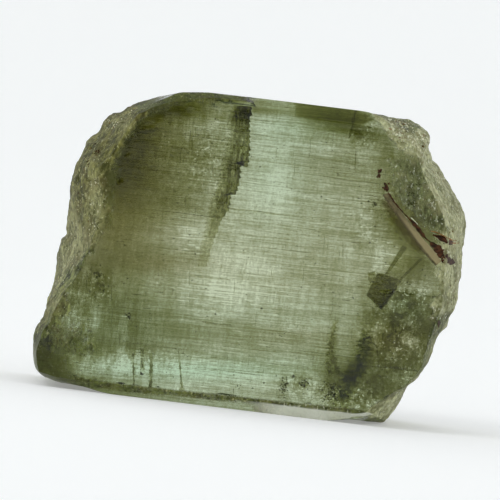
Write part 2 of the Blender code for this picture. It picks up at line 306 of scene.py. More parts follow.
# ---- how dark the body is, place by place ------------------------------------------------------------------------
# Soft patches on the broad face: middle (as a pixel), half width and half height in pixels, turn in degrees, and how
# much more (or less) light the crystal takes there.
PATCHES = [
    (78, 375, 36, 8, 8, 0.42),  # painted shade along the lower left edge
    (96, 312, 20, 16, 0, -0.12),
    (415, 347, 16, 11, 0, -0.30),
    (426, 218, 10, 12, 0, -0.15),
    (118, 156, 34, 46, 8, 1.65),  # dark olive, upper left
    (160, 104, 50, 14, 6, 1.60),  # shade at the upper left
    (166, 168, 36, 50, 8, 0.50),
    (206, 185, 16, 36, 8, 0.25),  # left of the dark band
    (272, 180, 34, 50, 6, -0.36),  # pale window right of the band
    (240, 278, 48, 40, 6, -0.55),  # brightest, in the middle
    (188, 232, 24, 10, 6, -0.42),  # grey streaks
    (160, 264, 44, 13, 6, 0.26),
    (122, 300, 24, 26, 6, -0.10),
    (130, 330, 26, 20, 0, 0.10),
    (340, 124, 32, 10, 7, 1.35),  # painted shade under the top bevel
    (364, 134, 16, 11, 20, 1.10),
    (340, 166, 34, 12, 7, 0.36),
    (386, 143, 7, 18, 0, 0.70),  # dark smear that runs down
    (402, 152, 16, 9, 0, 0.25),
    (410, 182, 26, 28, 4, 1.35),  # green right end
    (416, 220, 28, 26, 20, 1.45),
    (424, 252, 20, 20, 4, 0.80),
    (362, 246, 10, 10, 0, 0.10),  # shade left of the bright triangle
    (408, 272, 24, 18, 0, 0.70),
    (364, 282, 6, 10, 0, 0.25),
    (364, 300, 8, 12, 0, 0.30),
    (386, 318, 26, 12, 0, 0.40),
    (262, 108, 14, 7, 7, 0.30),
    (410, 318, 32, 24, 0, 1.25),  # mottled lower right
    (392, 352, 34, 26, 0, 1.05),
    (372, 385, 34, 20, 0, 1.25),
    (426, 340, 12, 26, 20, 0.95),
    (402, 302, 12, 10, 0, 0.35),
    (332, 345, 5, 32, 4, 0.40),  # upright smear
    (334, 380, 18, 20, 0, 0.85),
    (205, 372, 80, 13, 7, -0.22),  # mint strip along the foot
    (116, 368, 22, 12, 7, -0.25),
    (50, 358, 20, 20, 0, 1.25),  # dark lower left corner
    (92, 388, 34, 7, 6, 0.55),
    (240, 338, 130, 17, 7, 0.36),
    (100, 275, 9, 10, 0, 0.35),
    (195, 150, 36, 40, 8, 0.30),
    (180, 202, 30, 8, 8, 0.22),
    (92, 318, 14, 16, 0, -0.30),
    (284, 386, 6, 14, 4, 0.45),
    (392, 328, 14, 12, 0, 0.45),
    (352, 280, 10, 18, 0, -0.20),
    (412, 190, 20, 30, 0, -0.15),
    (398, 300, 42, 76, 0, 0.14),
    (388, 222, 16, 34, 0, 0.18),
    (400, 232, 16, 14, 40, 0.16),
    (358, 382, 34, 8, 6, 0.20),
    (120, 112, 20, 12, -25, 0.30),
    (228, 103, 16, 6, 4, 0.25),
    (182, 262, 20, 10, 0, 0.16),
    (140, 306, 40, 14, 0, 0.10),
    (310, 128, 60, 22, 5, -0.08),
    (125, 128, 18, 12, -20, 0.35),
    (100, 150, 10, 20, 10, 0.15),
    (132, 106, 14, 8, -20, 0.30),
    (170, 104, 30, 6, 0, 0.20),
    (354, 382, 12, 12, 0, -0.20),
    (282, 205, 16, 22, 0, -0.18),
    (232, 108, 11, 9, 0, 0.15),
    (350, 366, 9, 9, 30, 0.30),
    (400, 294, 16, 14, 0, 0.32),
    (134, 128, 22, 12, -10, 0.30),
    (226, 150, 6, 14, 0, 0.25),
    (432, 345, 10, 14, 20, 0.20),
    (361, 358, 10, 16, 30, 0.50),
    (386, 388, 14, 10, 0, 0.50),
    (350, 372, 10, 9, 30, 0.50),
    (412, 340, 12, 18, 0, -0.45),
    (432, 350, 9, 14, 20, 0.35),
    (130, 132, 36, 14, -20, 0.35),
    (150, 108, 20, 10, 0, 0.50),
    (188, 106, 26, 8, 6, 0.25),
    (245, 314, 44, 14, 6, 0.25),
    (330, 296, 16, 22, 0, 0.16),
    (372, 314, 10, 8, 0, 0.35),
    (430, 210, 10, 12, 0, 0.30),
    (106, 326, 34, 12, 0, -0.32),
    (150, 346, 14, 9, 0, 0.30),
    (72, 350, 12, 12, 0, 0.30),
    (304, 380, 12, 6, 20, 0.20),
]

# Zones with an edge: corners as pixels, how soft the edge is in pixels, and the darkness they add.
ZONES = [
    ([(296, 101), (345, 105), (368, 112), (372, 120), (360, 123), (340, 121), (296, 115.5)], 1.4, 1.60),  # painted shade along the dark length of the top bevel
    ([(253, 98), (296, 101), (296, 115.5), (253, 110.5)], 1.5, 0.45),  # painted light along the lit length of it
    ([(253, 106), (296, 110), (296, 114), (253, 110)], 1.0, 0.35),  # the shade at its foot
    ([(140, 88), (253, 90), (253, 99), (180, 98), (140, 112)], 4.0, 0.90),  # painted shade along the top
    ([(232, 88), (253, 90), (253, 112), (232, 110)], 2.5, 0.10),  # and darkest over the fissure
    ([(378, 271.5), (399, 277.5), (396, 288), (381.8, 307.5), (367.5, 293), (371, 284)], 1.2, 0.62),  # rhombic end of the prism
    ([(120, 352), (200, 356), (250, 361), (328, 374), (328, 400), (250, 396), (180, 390), (120, 380)], 5.0, -0.14),  # mint strip
    ([(391, 157), (424, 157), (431, 170), (431, 188), (441, 206), (443, 224), (432, 236), (391, 184)], 4.0, 0.35),
    ([(377, 240), (402, 244), (385, 272), (371, 270)], 1.5, -0.42),  # bright triangle
    ([(403, 255), (419, 258), (400, 279), (388, 272)], 2.0, 0.10),  # pale prism
    ([(56, 372), (120, 383), (200, 391.5), (300, 402), (364, 409), (364, 412), (300, 406), (200, 396), (120, 389), (60, 382)], 2.0, 0.50),  # olive line along the foot
    ([(404, 268), (432, 262), (434, 292), (408, 294), (398, 284)], 4.0, -0.20),
    ([(409, 337), (421, 337), (421, 352), (409, 352)], 3.0, -0.40),
    ([(371, 319), (387, 320), (384, 345), (374, 345)], 3.0, -0.35),
    ([(150, 268), (206, 262), (200, 303), (150, 310)], 5.0, -0.15),
    ([(205, 284), (242, 285), (242, 312), (207, 314)], 4.0, -0.15),
    ([(382, 193), (388, 191.5), (409, 220), (429, 243.5), (441.5, 261), (434, 266), (404, 231)], 1.2, -0.55),  # lath
]
# Where painted glints, bright dashes, lie: middle, half width and half height in pixels, and how many.
GLINTS = [(222, 297, 26, 16, 1.0), (190, 240, 16, 14, 0.8), (165, 283, 26, 10, 0.5), (388, 252, 18, 18, 1.0), (416, 296, 18, 12, 0.8),
          (404, 330, 24, 12, 0.7), (200, 368, 70, 12, 0.5), (360, 160, 20, 12, 0.4), (345, 205, 40, 20, 0.3), (398, 362, 14, 12, 0.5),
          (75, 300, 12, 30, 0.6), (300, 300, 60, 60, 0.2), (335, 396, 12, 8, 0.6)]

# Where the inside is mottled and crackled, in the same way.
MOTTLED = [(150, 160, 40, 40, 0.35), (400, 345, 34, 44, 1.0), (408, 300, 24, 22, 0.8), (356, 396, 34, 14, 1.0), (74, 305, 14, 44, 0.5), (364, 132, 16, 14, 0.8), (100, 285, 14, 18, 0.8),
           (302, 384, 24, 12, 0.6), (412, 196, 22, 34, 0.75), (206, 158, 18, 30, 0.5), (366, 225, 14, 26, 0.4), (130, 360, 60, 18, 0.4)]

# Where it shows upright light and dark columns, and where painted glints, short bright dashes, stand upright.
UPRIGHT = [(110, 330, 60, 44, 1.0), (72, 300, 20, 46, 1.0), (185, 120, 46, 34, 0.9), (235, 282, 50, 36, 0.5), (60, 355, 26, 22, 0.8)]
UPRIGHT_GLINTS = [(64, 306, 9, 30, 1.0), (78, 286, 8, 20, 0.9), (96, 200, 8, 26, 0.6), (50, 336, 8, 10, 0.5)]


def strength(places, px, py):
    """A field from 0 to 1 made of soft patches."""
    total = sum(much * np.exp(-(((px - cx) / a) ** 2 + ((py - cy) / b) ** 2)) for cx, cy, a, b, much in places)
    return np.clip(total, 0, 1)


def body_darkness(px, py):
    """How much light goes missing on the way through, as the exponent for green light; some of its patches and zones
    are painted shade and painted light.
    """
    k = np.full(np.shape(px), 1.14)
    k = k + 0.90 * (1 - smooth_step(98, 220, px)) * (1 - 0.75 * smooth_step(338, 362, py))
    for cx, cy, a, b, turn, amount in PATCHES:
        r = math.radians(turn)
        dx, dy = px - cx, py - cy
        p, q = dx * math.cos(r) + dy * math.sin(r), -dx * math.sin(r) + dy * math.cos(r)
        k = k + amount * np.exp(-((p / a) ** 2 + (q / b) ** 2))
    for corners, soft, amount in ZONES:
        k = k + amount * smooth_step(-soft, soft, inside_of(px, py, corners))
    return k


def body_warmth(px, py):
    """How much less red the crystal takes than green: above 0 is olive brown, below 0 bluish."""
    w = 0.02 + 0.10 * (1 - smooth_step(110, 200, px)) * (1 - smooth_step(220, 300, py))
    w = w - 0.03 * smooth_step(250, 110, py) * smooth_step(130, 260, px) - 0.06 * smooth_step(270, 340, py)
    for cx, cy, a, b, amount in (
        (200, 369, 110, 12, -0.12), (272, 178, 40, 50, -0.06), (305, 124, 62, 20, -0.07), (420, 195, 26, 50, 0.04), (392, 340, 26, 20, 0.12),
        (404, 304, 18, 14, -0.10), (160, 262, 50, 9, 0.05), (300, 335, 60, 12, 0.04), (110, 320, 60, 50, -0.06),
    ):
        w = w + amount * np.exp(-(((px - cx) / a) ** 2 + ((py - cy) / b) ** 2))
    return w


# ---- small makers ------------------------------------------------------------------------------------------------
def mesh_object(name, points, faces, smooth=True):
    """A mesh object from points in millimetres."""
    mesh = bpy.data.meshes.new(name)
    mesh.from_pydata((np.asarray(points, float) / 1000.0).tolist(), [], [tuple(map(int, f)) for f in faces])
    mesh.validate()
    mesh.update()
    if smooth:
        mesh.shade_smooth()
    made = bpy.data.objects.new(name, mesh)
    bpy.context.scene.collection.objects.link(made)
    return made


def note(obj, name, values):
    """One number for each point of a mesh, for its material to read."""
    attribute = obj.data.attributes.new(name, "FLOAT", "POINT")
    attribute.data.foreach_set("value", np.asarray(values, np.float32))


class Nodes:
    """Short ways to lay nodes in a material."""

    def __init__(self, name):
        self.material = bpy.data.materials.new(name)
        self.material.use_nodes = True
        self.tree = self.material.node_tree
        self.tree.nodes.clear()
        self.out = self.tree.nodes.new("ShaderNodeOutputMaterial")
        coordinates = self.tree.nodes.new("ShaderNodeTexCoord")
        parts = self.tree.nodes.new("ShaderNodeSeparateXYZ")
        self.tree.links.new(coordinates.outputs["Object"], parts.inputs[0])
        # in millimetres
        self.x = self.math("MULTIPLY", parts.outputs[0], 1000.0)
        self.y = self.math("MULTIPLY", parts.outputs[1], 1000.0)
        self.z = self.math("MULTIPLY", parts.outputs[2], 1000.0)

    def put(self, socket, value):
        if isinstance(value, bpy.types.NodeSocket):
            self.tree.links.new(value, socket)
        else:
            socket.default_value = value

    def math(self, kind, a, b=None, c=None, clamp=False):
        n = self.tree.nodes.new("ShaderNodeMath")
        n.operation = kind
        n.use_clamp = clamp
        for socket, value in zip(n.inputs, (a, b, c)):
            if value is not None:
                self.put(socket, value)
        return n.outputs[0]

    def add(self, *values):
        total = values[0]
        for v in values[1:]:
            total = self.math("ADD", total, v)
        return total

    def times(self, *values):
        total = values[0]
        for v in values[1:]:
            total = self.math("MULTIPLY", total, v)
        return total

    def ramp(self, value, low, high, to_low=0.0, to_high=1.0, smooth=True):
        n = self.tree.nodes.new("ShaderNodeMapRange")
        n.interpolation_type = "SMOOTHSTEP" if smooth else "LINEAR"
        n.clamp = True
        self.put(n.inputs["Value"], value)
        for key, v in (("From Min", low), ("From Max", high), ("To Min", to_low), ("To Max", to_high)):
            self.put(n.inputs[key], v)
        return n.outputs["Result"]

    def vector(self, x, y, z):
        n = self.tree.nodes.new("ShaderNodeCombineXYZ")
        for socket, value in zip(n.inputs, (x, y, z)):
            self.put(socket, value)
        return n.outputs[0]

    def noise(self, size, detail=2.0, rough=0.5, shift=0.0, along=None):
        """Noise from 0 to 1 with features of the given size in millimetres, by axis."""
        x = along if along is not None else self.x
        v = self.vector(
            self.math("MULTIPLY_ADD", x, 1.0 / size[0], shift),
            self.math("MULTIPLY_ADD", self.y, 1.0 / size[1], shift * 1.7),
            self.math("MULTIPLY_ADD", self.z, 1.0 / size[2], shift * 2.3),
        )
        n = self.tree.nodes.new("ShaderNodeTexNoise")
        n.noise_dimensions = "3D"
        self.put(n.inputs["Vector"], v)
        n.inputs["Scale"].default_value = 1.0
        n.inputs["Detail"].default_value = detail
        n.inputs["Roughness"].default_value = rough
        return n.outputs["Fac"]

    def grains(self, size, shift=0.0):
        """Packed grains of the given size: how bright each one is, and the distance from its middle, both 0 to 1."""
        v = self.vector(
            self.math("MULTIPLY_ADD", self.x, 1.0 / size[0], shift),
            self.math("MULTIPLY_ADD", self.y, 1.0 / size[1], shift * 1.7),
            self.math("MULTIPLY_ADD", self.z, 1.0 / size[2], shift * 2.3),
        )
        n = self.tree.nodes.new("ShaderNodeTexVoronoi")
        self.put(n.inputs["Vector"], v)
        n.inputs["Scale"].default_value = 1.0
        parts = self.tree.nodes.new("ShaderNodeSeparateColor")
        self.tree.links.new(n.outputs["Color"], parts.inputs[0])
        return parts.outputs[0], n.outputs["Distance"]

    def attribute(self, name):
        n = self.tree.nodes.new("ShaderNodeAttribute")
        n.attribute_name = name
        return n.outputs["Fac"]

    def colour(self, r, g, b):
        n = self.tree.nodes.new("ShaderNodeCombineColor")
        for socket, value in zip(n.inputs, (r, g, b)):
            self.put(socket, value)
        return n.outputs[0]

    def mix(self, share, first, second):
        n = self.tree.nodes.new("ShaderNodeMix")
        n.data_type = "RGBA"
        self.put(n.inputs[0], share)
        for socket, value in ((n.inputs[6], first), (n.inputs[7], second)):
            self.put(socket, (*value, 1.0) if isinstance(value, tuple) and len(value) == 3 else value)
        return n.outputs[2]

    def green(self, darkness, warmth=0.0, weights=(1.0, 1.0, 1.63), curve=0.085, blue=0.0):
        """The crystal's own colour for a darkness: what is left of white light."""
        parts = [self.times(darkness, -w) for w in weights]
        parts[0] = self.add(parts[0], warmth)
        # thick or dark places lose blue faster
        parts[2] = self.add(parts[2], self.times(darkness, darkness, -curve), -blue)
        return self.colour(*[self.math("MINIMUM", self.math("EXPONENT", p), 1.0) for p in parts])

    def bump(self, height, strength, distance):
        n = self.tree.nodes.new("ShaderNodeBump")
        n.inputs["Strength"].default_value = strength
        n.inputs["Distance"].default_value = distance / 1000.0
        self.put(n.inputs["Height"], height)
        return n.outputs[0]

    def principled(self, **values):
        n = self.tree.nodes.new("ShaderNodeBsdfPrincipled")
        for key, value in values.items():
            self.put(n.inputs[key.replace("_", " ")], value)
        return n

    def finish(self, surface, volume=None):
        self.tree.links.new(surface, self.out.inputs["Surface"])
        if volume is not None:
            self.tree.links.new(volume, self.out.inputs["Volume"])
        return self.material


# ---- the crystal -------------------------------------------------------------------------------------------------
def fine_box():
    """Points on the skin of a cube from -1 to 1, as shared points and quads, cut ALONG by THROUGH by UP."""
    n = (ALONG, THROUGH, UP)
    ids = np.full((n[0] + 1, n[1] + 1, n[2] + 1), -1, np.int64)
    skin = np.zeros(ids.shape, bool)
    for axis in range(3):
        first, last = [slice(None)] * 3, [slice(None)] * 3
        first[axis], last[axis] = 0, -1
        skin[tuple(first)] = True
        skin[tuple(last)] = True
    where = np.argwhere(skin)
    ids[tuple(where.T)] = np.arange(len(where))
    faces = []
    for axis in range(3):
        for end in (0, -1):
            pick = [slice(None)] * 3
            pick[axis] = end
            sheet = ids[tuple(pick)]
            a, b, c, d = sheet[:-1, :-1], sheet[1:, :-1], sheet[1:, 1:], sheet[:-1, 1:]
            quads = np.stack([a, b, c, d], axis=-1).reshape(-1, 4)
            # the quads face out at the last end for X and Z, and at the first for Y
            if (end == 0) == (axis != 1):
                quads = quads[:, ::-1]
            faces.append(quads)
    return where / np.array(n, float) * 2 - 1, np.concatenate(faces)


def normals_of(points, faces):
    a, b, c, d = (points[faces[:, i]] for i in range(4))
    face = np.cross(c - a, d - b)
    total = np.zeros_like(points)
    for i in range(4):
        np.add.at(total, faces[:, i], face)
    return total / np.maximum(np.linalg.norm(total, axis=1, keepdims=True), 1e-12)


def striation(across, along, seed):
    """Height of the fine lines that run along the prism faces."""
    lean = across - 0.014 * along
    zero = np.zeros_like(lean)
    total = 0.0
    for pitch, height, k in ((0.46, 0.0014, 1), (0.21, 0.0010, 2), (0.105, 0.0007, 3)):
        p = np.stack([along / 9.0, zero, lean], axis=1)
        line = noise(p, (1.0, 1.0, pitch), seed + k)
        strength = 0.6 + 0.4 * noise(np.stack([along, zero, lean], axis=1), (2.2, 1.0, 0.5), seed + 10 + k)
        total = total + height * strength * (np.abs(line) * 2 - 0.7)
    return total


def make_crystal():
    cube, faces = fine_box()
    flat = cube.copy()
    flat[:, 0] = np.sin(cube[:, 0] * math.pi / 2 * 0.60) / math.sin(math.pi / 2 * 0.60)
    # closer together near the front and at the bevels
    u = (cube[:, 1] + 1) / 2
    levels = [0.0, 0.05, 0.56, 0.95, 1.0]
    shares = [0.0, 0.10, 0.60, 0.90, 1.0]
    flat[:, 1] = np.interp(u, shares, levels) * 2 - 1
    lean = FLAKE_LEAN * HEIGHT / 2 * flat[:, 2] / (LENGTH / 2) * (flat[:, 1] + 1) / 2
    flat[:, 0] += lean * (1 - np.abs(flat[:, 0]) ** 2.5)
    base = broken(crystal_form(flat), flat)
    middle = (base.min(axis=0) + base.max(axis=0)) / 2
    base[:, :2] -= middle[:2]
    normal = normals_of(base, faces)

    edge = np.abs(cube)
    on_front = (cube[:, 1] == -1) & (edge[:, 0] < 1) & (edge[:, 2] < 1)
    on_back = (cube[:, 1] == 1) & (edge[:, 0] < 1) & (edge[:, 2] < 1)
    on_long = (edge[:, 2] == 1) & (edge[:, 0] < 1)
    on_end = edge[:, 0] == 1

    # how broken, and so frosted, the surface is
    px, py = seen_at(base)
    fine = noise(base, (0.16, 0.16, 0.14), 21)
    broad = noise(base, (0.5, 0.5, 0.45), 22)
    wobble = 2.2 * fine + 2.5 * broad
    lower_right = smooth_step(326, 350, py) * (px > 300)
    lower_left = smooth_step(318, 345, py) * (px < 150)
    u = (flat[:, 1] + 1) / 2
    near_front = 1 - smooth_step(0.0, 0.30, u)
    calm = np.maximum(0.20 * lower_right, 0.30 * lower_left)
    near_back = smooth_step(0.84, 0.97, u)
    frost = on_end * np.clip(1.0 - calm - 0.10 * near_front * (1 + fine), 0.1, 1.0) * (1 - 0.15 * near_back)
    # it fades in over the last part of each prism face
    left_gap = base[:, 0] - through(FRONT_LEFT, base[:, 2])
    right_gap = through(FRONT_RIGHT, base[:, 2]) - base[:, 0]
    margin = np.where(px < 250, left_gap - 0.05, right_gap - 0.10 * smooth_step(300, 200, py)) + 0.045 * wobble
    reach = np.where(px < 250, 0.34, 0.30) * (1 - 0.4 * np.maximum(lower_right, lower_left))
    rim = (1 - smooth_step(0.0, 1.0, margin / reach)) * (1 - calm)
    frost = np.maximum(frost, 0.70 * rim * (~on_end) * (1 - near_back) * ~on_back)
    in_front = base[:, 1] < 0.5
    # the rounded top left corner, and the top bevel as far as the fissure
    corner = smooth_step(-1.9, -3.0, base[:, 0] + 0.06 * wobble) * (on_long & (cube[:, 2] == 1))
    bevel = (u < 0.055) & (cube[:, 2] == 1)
    dull = np.maximum(corner, smooth_step(-0.30, -0.90, base[:, 0]) * bevel)
    frost = np.maximum(frost, dull * 0.85)
    crust = inside_of(px, py, [(372, 108), (383, 124), (388, 135), (396, 141), (400, 147), (411, 151), (423, 156),
                               (436, 163), (445, 150), (440, 118), (405, 105)])
    facet = inside_of(px, py, [(358, 424), (378, 410), (392, 397), (401, 389), (409, 385), (422, 380), (412, 430)])
    frost = np.maximum(frost, smooth_step(-2.5, 2.5, crust + wobble) * in_front)
    frost = np.maximum(frost, 0.75 * smooth_step(-2, 2, facet + 0.4 * wobble) * in_front)
    # smooth dull places: the lower left corner, and along the lower right end
    corner_left = inside_of(px, py, [(10, 342), (50, 344), (70, 354), (74, 374), (90, 388), (60, 400), (10, 400)])
    quiet = 0.75 * smooth_step(-9, 9, corner_left + 1.5 * wobble) * in_front
    frost = np.maximum(frost, 0.75 * quiet)
    # light comes through the break, so it looks green: inside the lower left rim, and along the lower right end
    flank = inside_of(px, py, [(90, 242), (80, 258), (67, 271), (59, 286), (55, 300), (49, 314), (37, 327), (20, 345),
                               (10, 400), (140, 400), (140, 242)])
    low_end = inside_of(px, py, [(456, 312), (449, 320), (443, 331), (433, 347), (425, 366), (411, 382), (398, 391),
                                 (386, 402), (330, 402), (330, 312)])
    green = np.maximum(smooth_step(-4, 6, flank + wobble), smooth_step(-4, 6, low_end + wobble)) * in_front
    foot_line = inside_of(px, py, [(52, 371), (90, 377.5), (120, 382.5), (200, 391), (300, 401.5), (364, 408.5), (364, 414), (300, 408),
                                   (200, 398), (120, 391), (60, 384)])
    foot_line = smooth_step(-2.0, 1.5, foot_line) * in_front
    frost = np.maximum(frost, 0.52 * foot_line)
    green = np.maximum(green, foot_line)
    foot_bevel = (u < 0.055) & (cube[:, 2] == -1)
    frost = np.maximum(frost, 0.75 * foot_bevel * smooth_step(222, 280, px + 5 * fine))
    lost = smooth_step(0.0, 0.15, THICKNESS / 2 - back_face(base[:, 0], base[:, 2])) * on_back
    frost = np.maximum(frost, lost * 0.12)
    # the narrow faces are dull with fine lines, and so is a patch beside the lath
    narrow = on_long * smooth_step(0.07, 0.16, u) * smooth_step(1.0, 0.94, u)
    green = np.maximum(green, on_long * smooth_step(0.07, 0.16, u))
    haze = inside_of(px, py, [(388, 158), (424, 155), (433, 166), (438, 188), (448, 206), (449, 226), (438, 240),
                              (424, 228), (408, 208), (394, 188)])
    haze = smooth_step(-7, 7, haze + 1.5 * wobble) * in_front * on_front
    frost = np.maximum(frost, 0.47 * haze)
    green = np.maximum(green, 0.85 * haze)
    dusk = inside_of(px, py, [(101, 112), (128, 100), (160, 95), (214, 95), (214, 101), (172, 104), (142, 118), (124, 136),
                              (117, 160), (114, 190), (112, 226), (96, 232)])
    dusk = smooth_step(-10, 6, dusk + 1.5 * wobble) * in_front * on_front
    frost = np.maximum(frost, 0.52 * dusk)
    quiet = np.maximum(quiet, 0.72 * dusk * (1 - smooth_step(0.4, 0.8, rim)))
    low_haze = inside_of(px, py, [(44, 322), (74, 318), (98, 332), (104, 348), (92, 358), (70, 356), (48, 346)])
    low_haze = smooth_step(-8, 6, low_haze + 1.5 * wobble) * in_front * on_front
    frost = np.clip(np.maximum(frost, 0.42 * low_haze), 0, 1)
    green = np.maximum(green, low_haze)
    # how pale the frost is: least on the left, most at the right margin and the crust
    pale = 0.16 - 0.11 * (px < 250) * smooth_step(236, 196, py) + 0.60 * smooth_step(250, 300, px) - 0.25 * smooth_step(322, 350, py)
    pale = pale + 0.30 * smooth_step(-6, 6, crust) + 0.45 * smooth_step(-3, 3, facet)
    pale = pale + 0.30 * np.exp(-(((px - 96) / 8) ** 2 + ((py - 198) / 24) ** 2))
    pale = pale + 0.30 * np.exp(-(((px - 66) / 24) ** 2 + ((py - 258) / 46) ** 2))
    pale = pale + 0.14 * np.exp(-(((px - 48) / 10) ** 2 + ((py - 326) / 14) ** 2))
    pale = pale + 0.40 * (px > 300) * smooth_step(270, 230, py) * smooth_step(150, 165, py) + 0.05 * (px > 300)
    pale = pale - 0.30 * np.exp(-(((px - 457) / 9) ** 2 + ((py - 252) / 14) ** 2))
    pale = pale + 0.25 * np.exp(-(((px - 118) / 14) ** 2 + ((py - 124) / 5) ** 2))
    pale = pale - 0.12 * np.exp(-(((px - 112) / 8) ** 2 + ((py - 142) / 9) ** 2)) - 0.3 * quiet
    pale = pale - 0.16 * dull * smooth_step(330, 250, px) * (base[:, 0] > -3.0)
    # painted reflection: the right part of the foot bevel is made pale white, where it mirrors the bright floor
    painted_foot_reflection = foot_bevel * smooth_step(228, 296, px + 5 * fine) * np.clip(0.86 + 0.22 * noise(base, (0.45, 1.0, 0.3), 58), 0, 1)
    pale = np.clip(pale + 0.9 * painted_foot_reflection - 0.3 * haze, 0, 1)
    quiet = np.maximum(quiet, 0.45 * dull * smooth_step(-3.2, -2.6, base[:, 0]))
    green = np.maximum(green, dull * smooth_step(-3.4, -2.6, base[:, 0]))

    # fine lines on the prism faces, faint towards the upper left and both ends
    lined = 1 - 0.84 * (1 - smooth_step(115, 205, px)) * (1 - smooth_step(284, 318, py))
    lined = lined - 0.9 * strength([(412, 195, 26, 40, 0.8), (404, 330, 36, 60, 1.0), (352, 395, 26, 14, 0.8)], px, py)
    lined = np.clip(lined, 0.12, 1)
    height = np.zeros(len(base))
    lines = striation(base[:, 2], base[:, 0], 40) * lined * smooth_step(0.1, 0.9, left_gap) * smooth_step(0.1, 0.9, right_gap)
    height = np.where(on_front, lines, height)
    height = np.where(on_back, striation(base[:, 2] + 3.7, base[:, 0], 60) * 1.6 * (1 - lost), height)
    height = np.where(on_long, striation(base[:, 1] + 5.1, base[:, 0], 80) * (1 + 3 * smooth_step(0.06, 0.14, u)), height)
    height = height * (1 - frost)
    # wrinkles, grains, hollows and pits where it is broken
    upright = base.copy()
    upright[:, 0] += 0.25 * base[:, 2]
    wrinkle = 0.030 * noise(upright, (0.36, 0.5, 0.60), 31) + 0.018 * noise(upright, (0.15, 0.2, 0.30), 32)
    wrinkle = wrinkle - 0.034 * np.abs(noise(upright, (0.30, 0.7, 1.0), 36)) + (0.005 * noise(upright, (0.09, 0.12, 0.30), 37) + 0.020 * noise(base, (0.24, 0.26, 0.24), 43)) * (px < 250)
    wrinkle = np.where(px < 250, wrinkle, 0.75 * wrinkle + 0.012 * noise(base, (0.11, 0.12, 0.11), 38))
    in_crust = smooth_step(-6, 6, crust)
    wrinkle = wrinkle * (1 - 0.6 * in_crust) + in_crust * (0.020 * noise(base, (0.15, 0.15, 0.13), 39) + 0.022 * noise(base, (0.34, 0.3, 0.26), 42))
    grain = 0.010 * noise(base, (0.08, 0.10, 0.08), 33) + 0.006 * fine
    pits = -0.05 * smooth_step(0.55, 0.90, noise(base, (0.2, 0.2, 0.14), 34))
    # broad hollows and ridges on the ends, away from the front
    relief = 0.075 * noise(base, (0.9, 0.8, 0.8), 44) - 0.070 * np.abs(noise(base, (1.3, 1.1, 1.1), 45))
    relief = relief * on_end * (0.35 * smooth_step(0.22, 0.50, u) + 0.65 * smooth_step(0.60, 0.80, u)) * smooth_step(1.0, 0.90, u)
    rough = (wrinkle * (1 + 0.5 * smooth_step(0.6, 0.8, u)) + relief + grain + pits) * (1 - 0.85 * quiet)
    # shell-shaped ripples on the back flakes
    ripple = np.hypot(base[:, 0] + 3.8, base[:, 2] - 6.4)
    ripples = 0.010 * np.sin(ripple * 9.0 + 2.0 * noise(base, (1.0, 1.0, 1.0), 35))
    height = height + rough * frost + ripples * lost
    points = base + normal * height[:, None]
    on_foot = base[:, 2] < 1e-6
    points[:, 2] = np.where(on_foot, np.maximum(lines * 0, 0.0), np.maximum(points[:, 2], 0.0))

    crystal = mesh_object(CRYSTAL + "_body", points, faces)
    crystal.data.set_sharp_from_angle(angle=math.radians(38))
    note(crystal, "frost", frost)
    note(crystal, "pale", pale)
    note(crystal, "quiet", np.clip(quiet, 0, 1))
    note(crystal, "green", np.clip(green, 0, 1))
    note(crystal, "painted_foot_reflection", np.clip(painted_foot_reflection, 0, 1))
    note(crystal, "narrow", narrow)
    note(crystal, "crust", np.clip(in_crust, 0, 1))
    note(crystal, "glint", strength(GLINTS, px, py) * (base[:, 1] < -1.6))
    note(crystal, "mottle", strength(MOTTLED, px, py) * (base[:, 1] < -1.6))
    note(crystal, "lined", lined)
    note(crystal, "upright", strength(UPRIGHT, px, py) * (base[:, 1] < -1.6))
    note(crystal, "upright_glint", strength(UPRIGHT_GLINTS, px, py) * (base[:, 1] < 0.5))
    note(crystal, "darkness", body_darkness(px, py))
    note(crystal, "warmth", body_warmth(px, py))
    note(crystal, "front", smooth_step(-1.2, -1.9, base[:, 1]))
    return crystal, points, normal


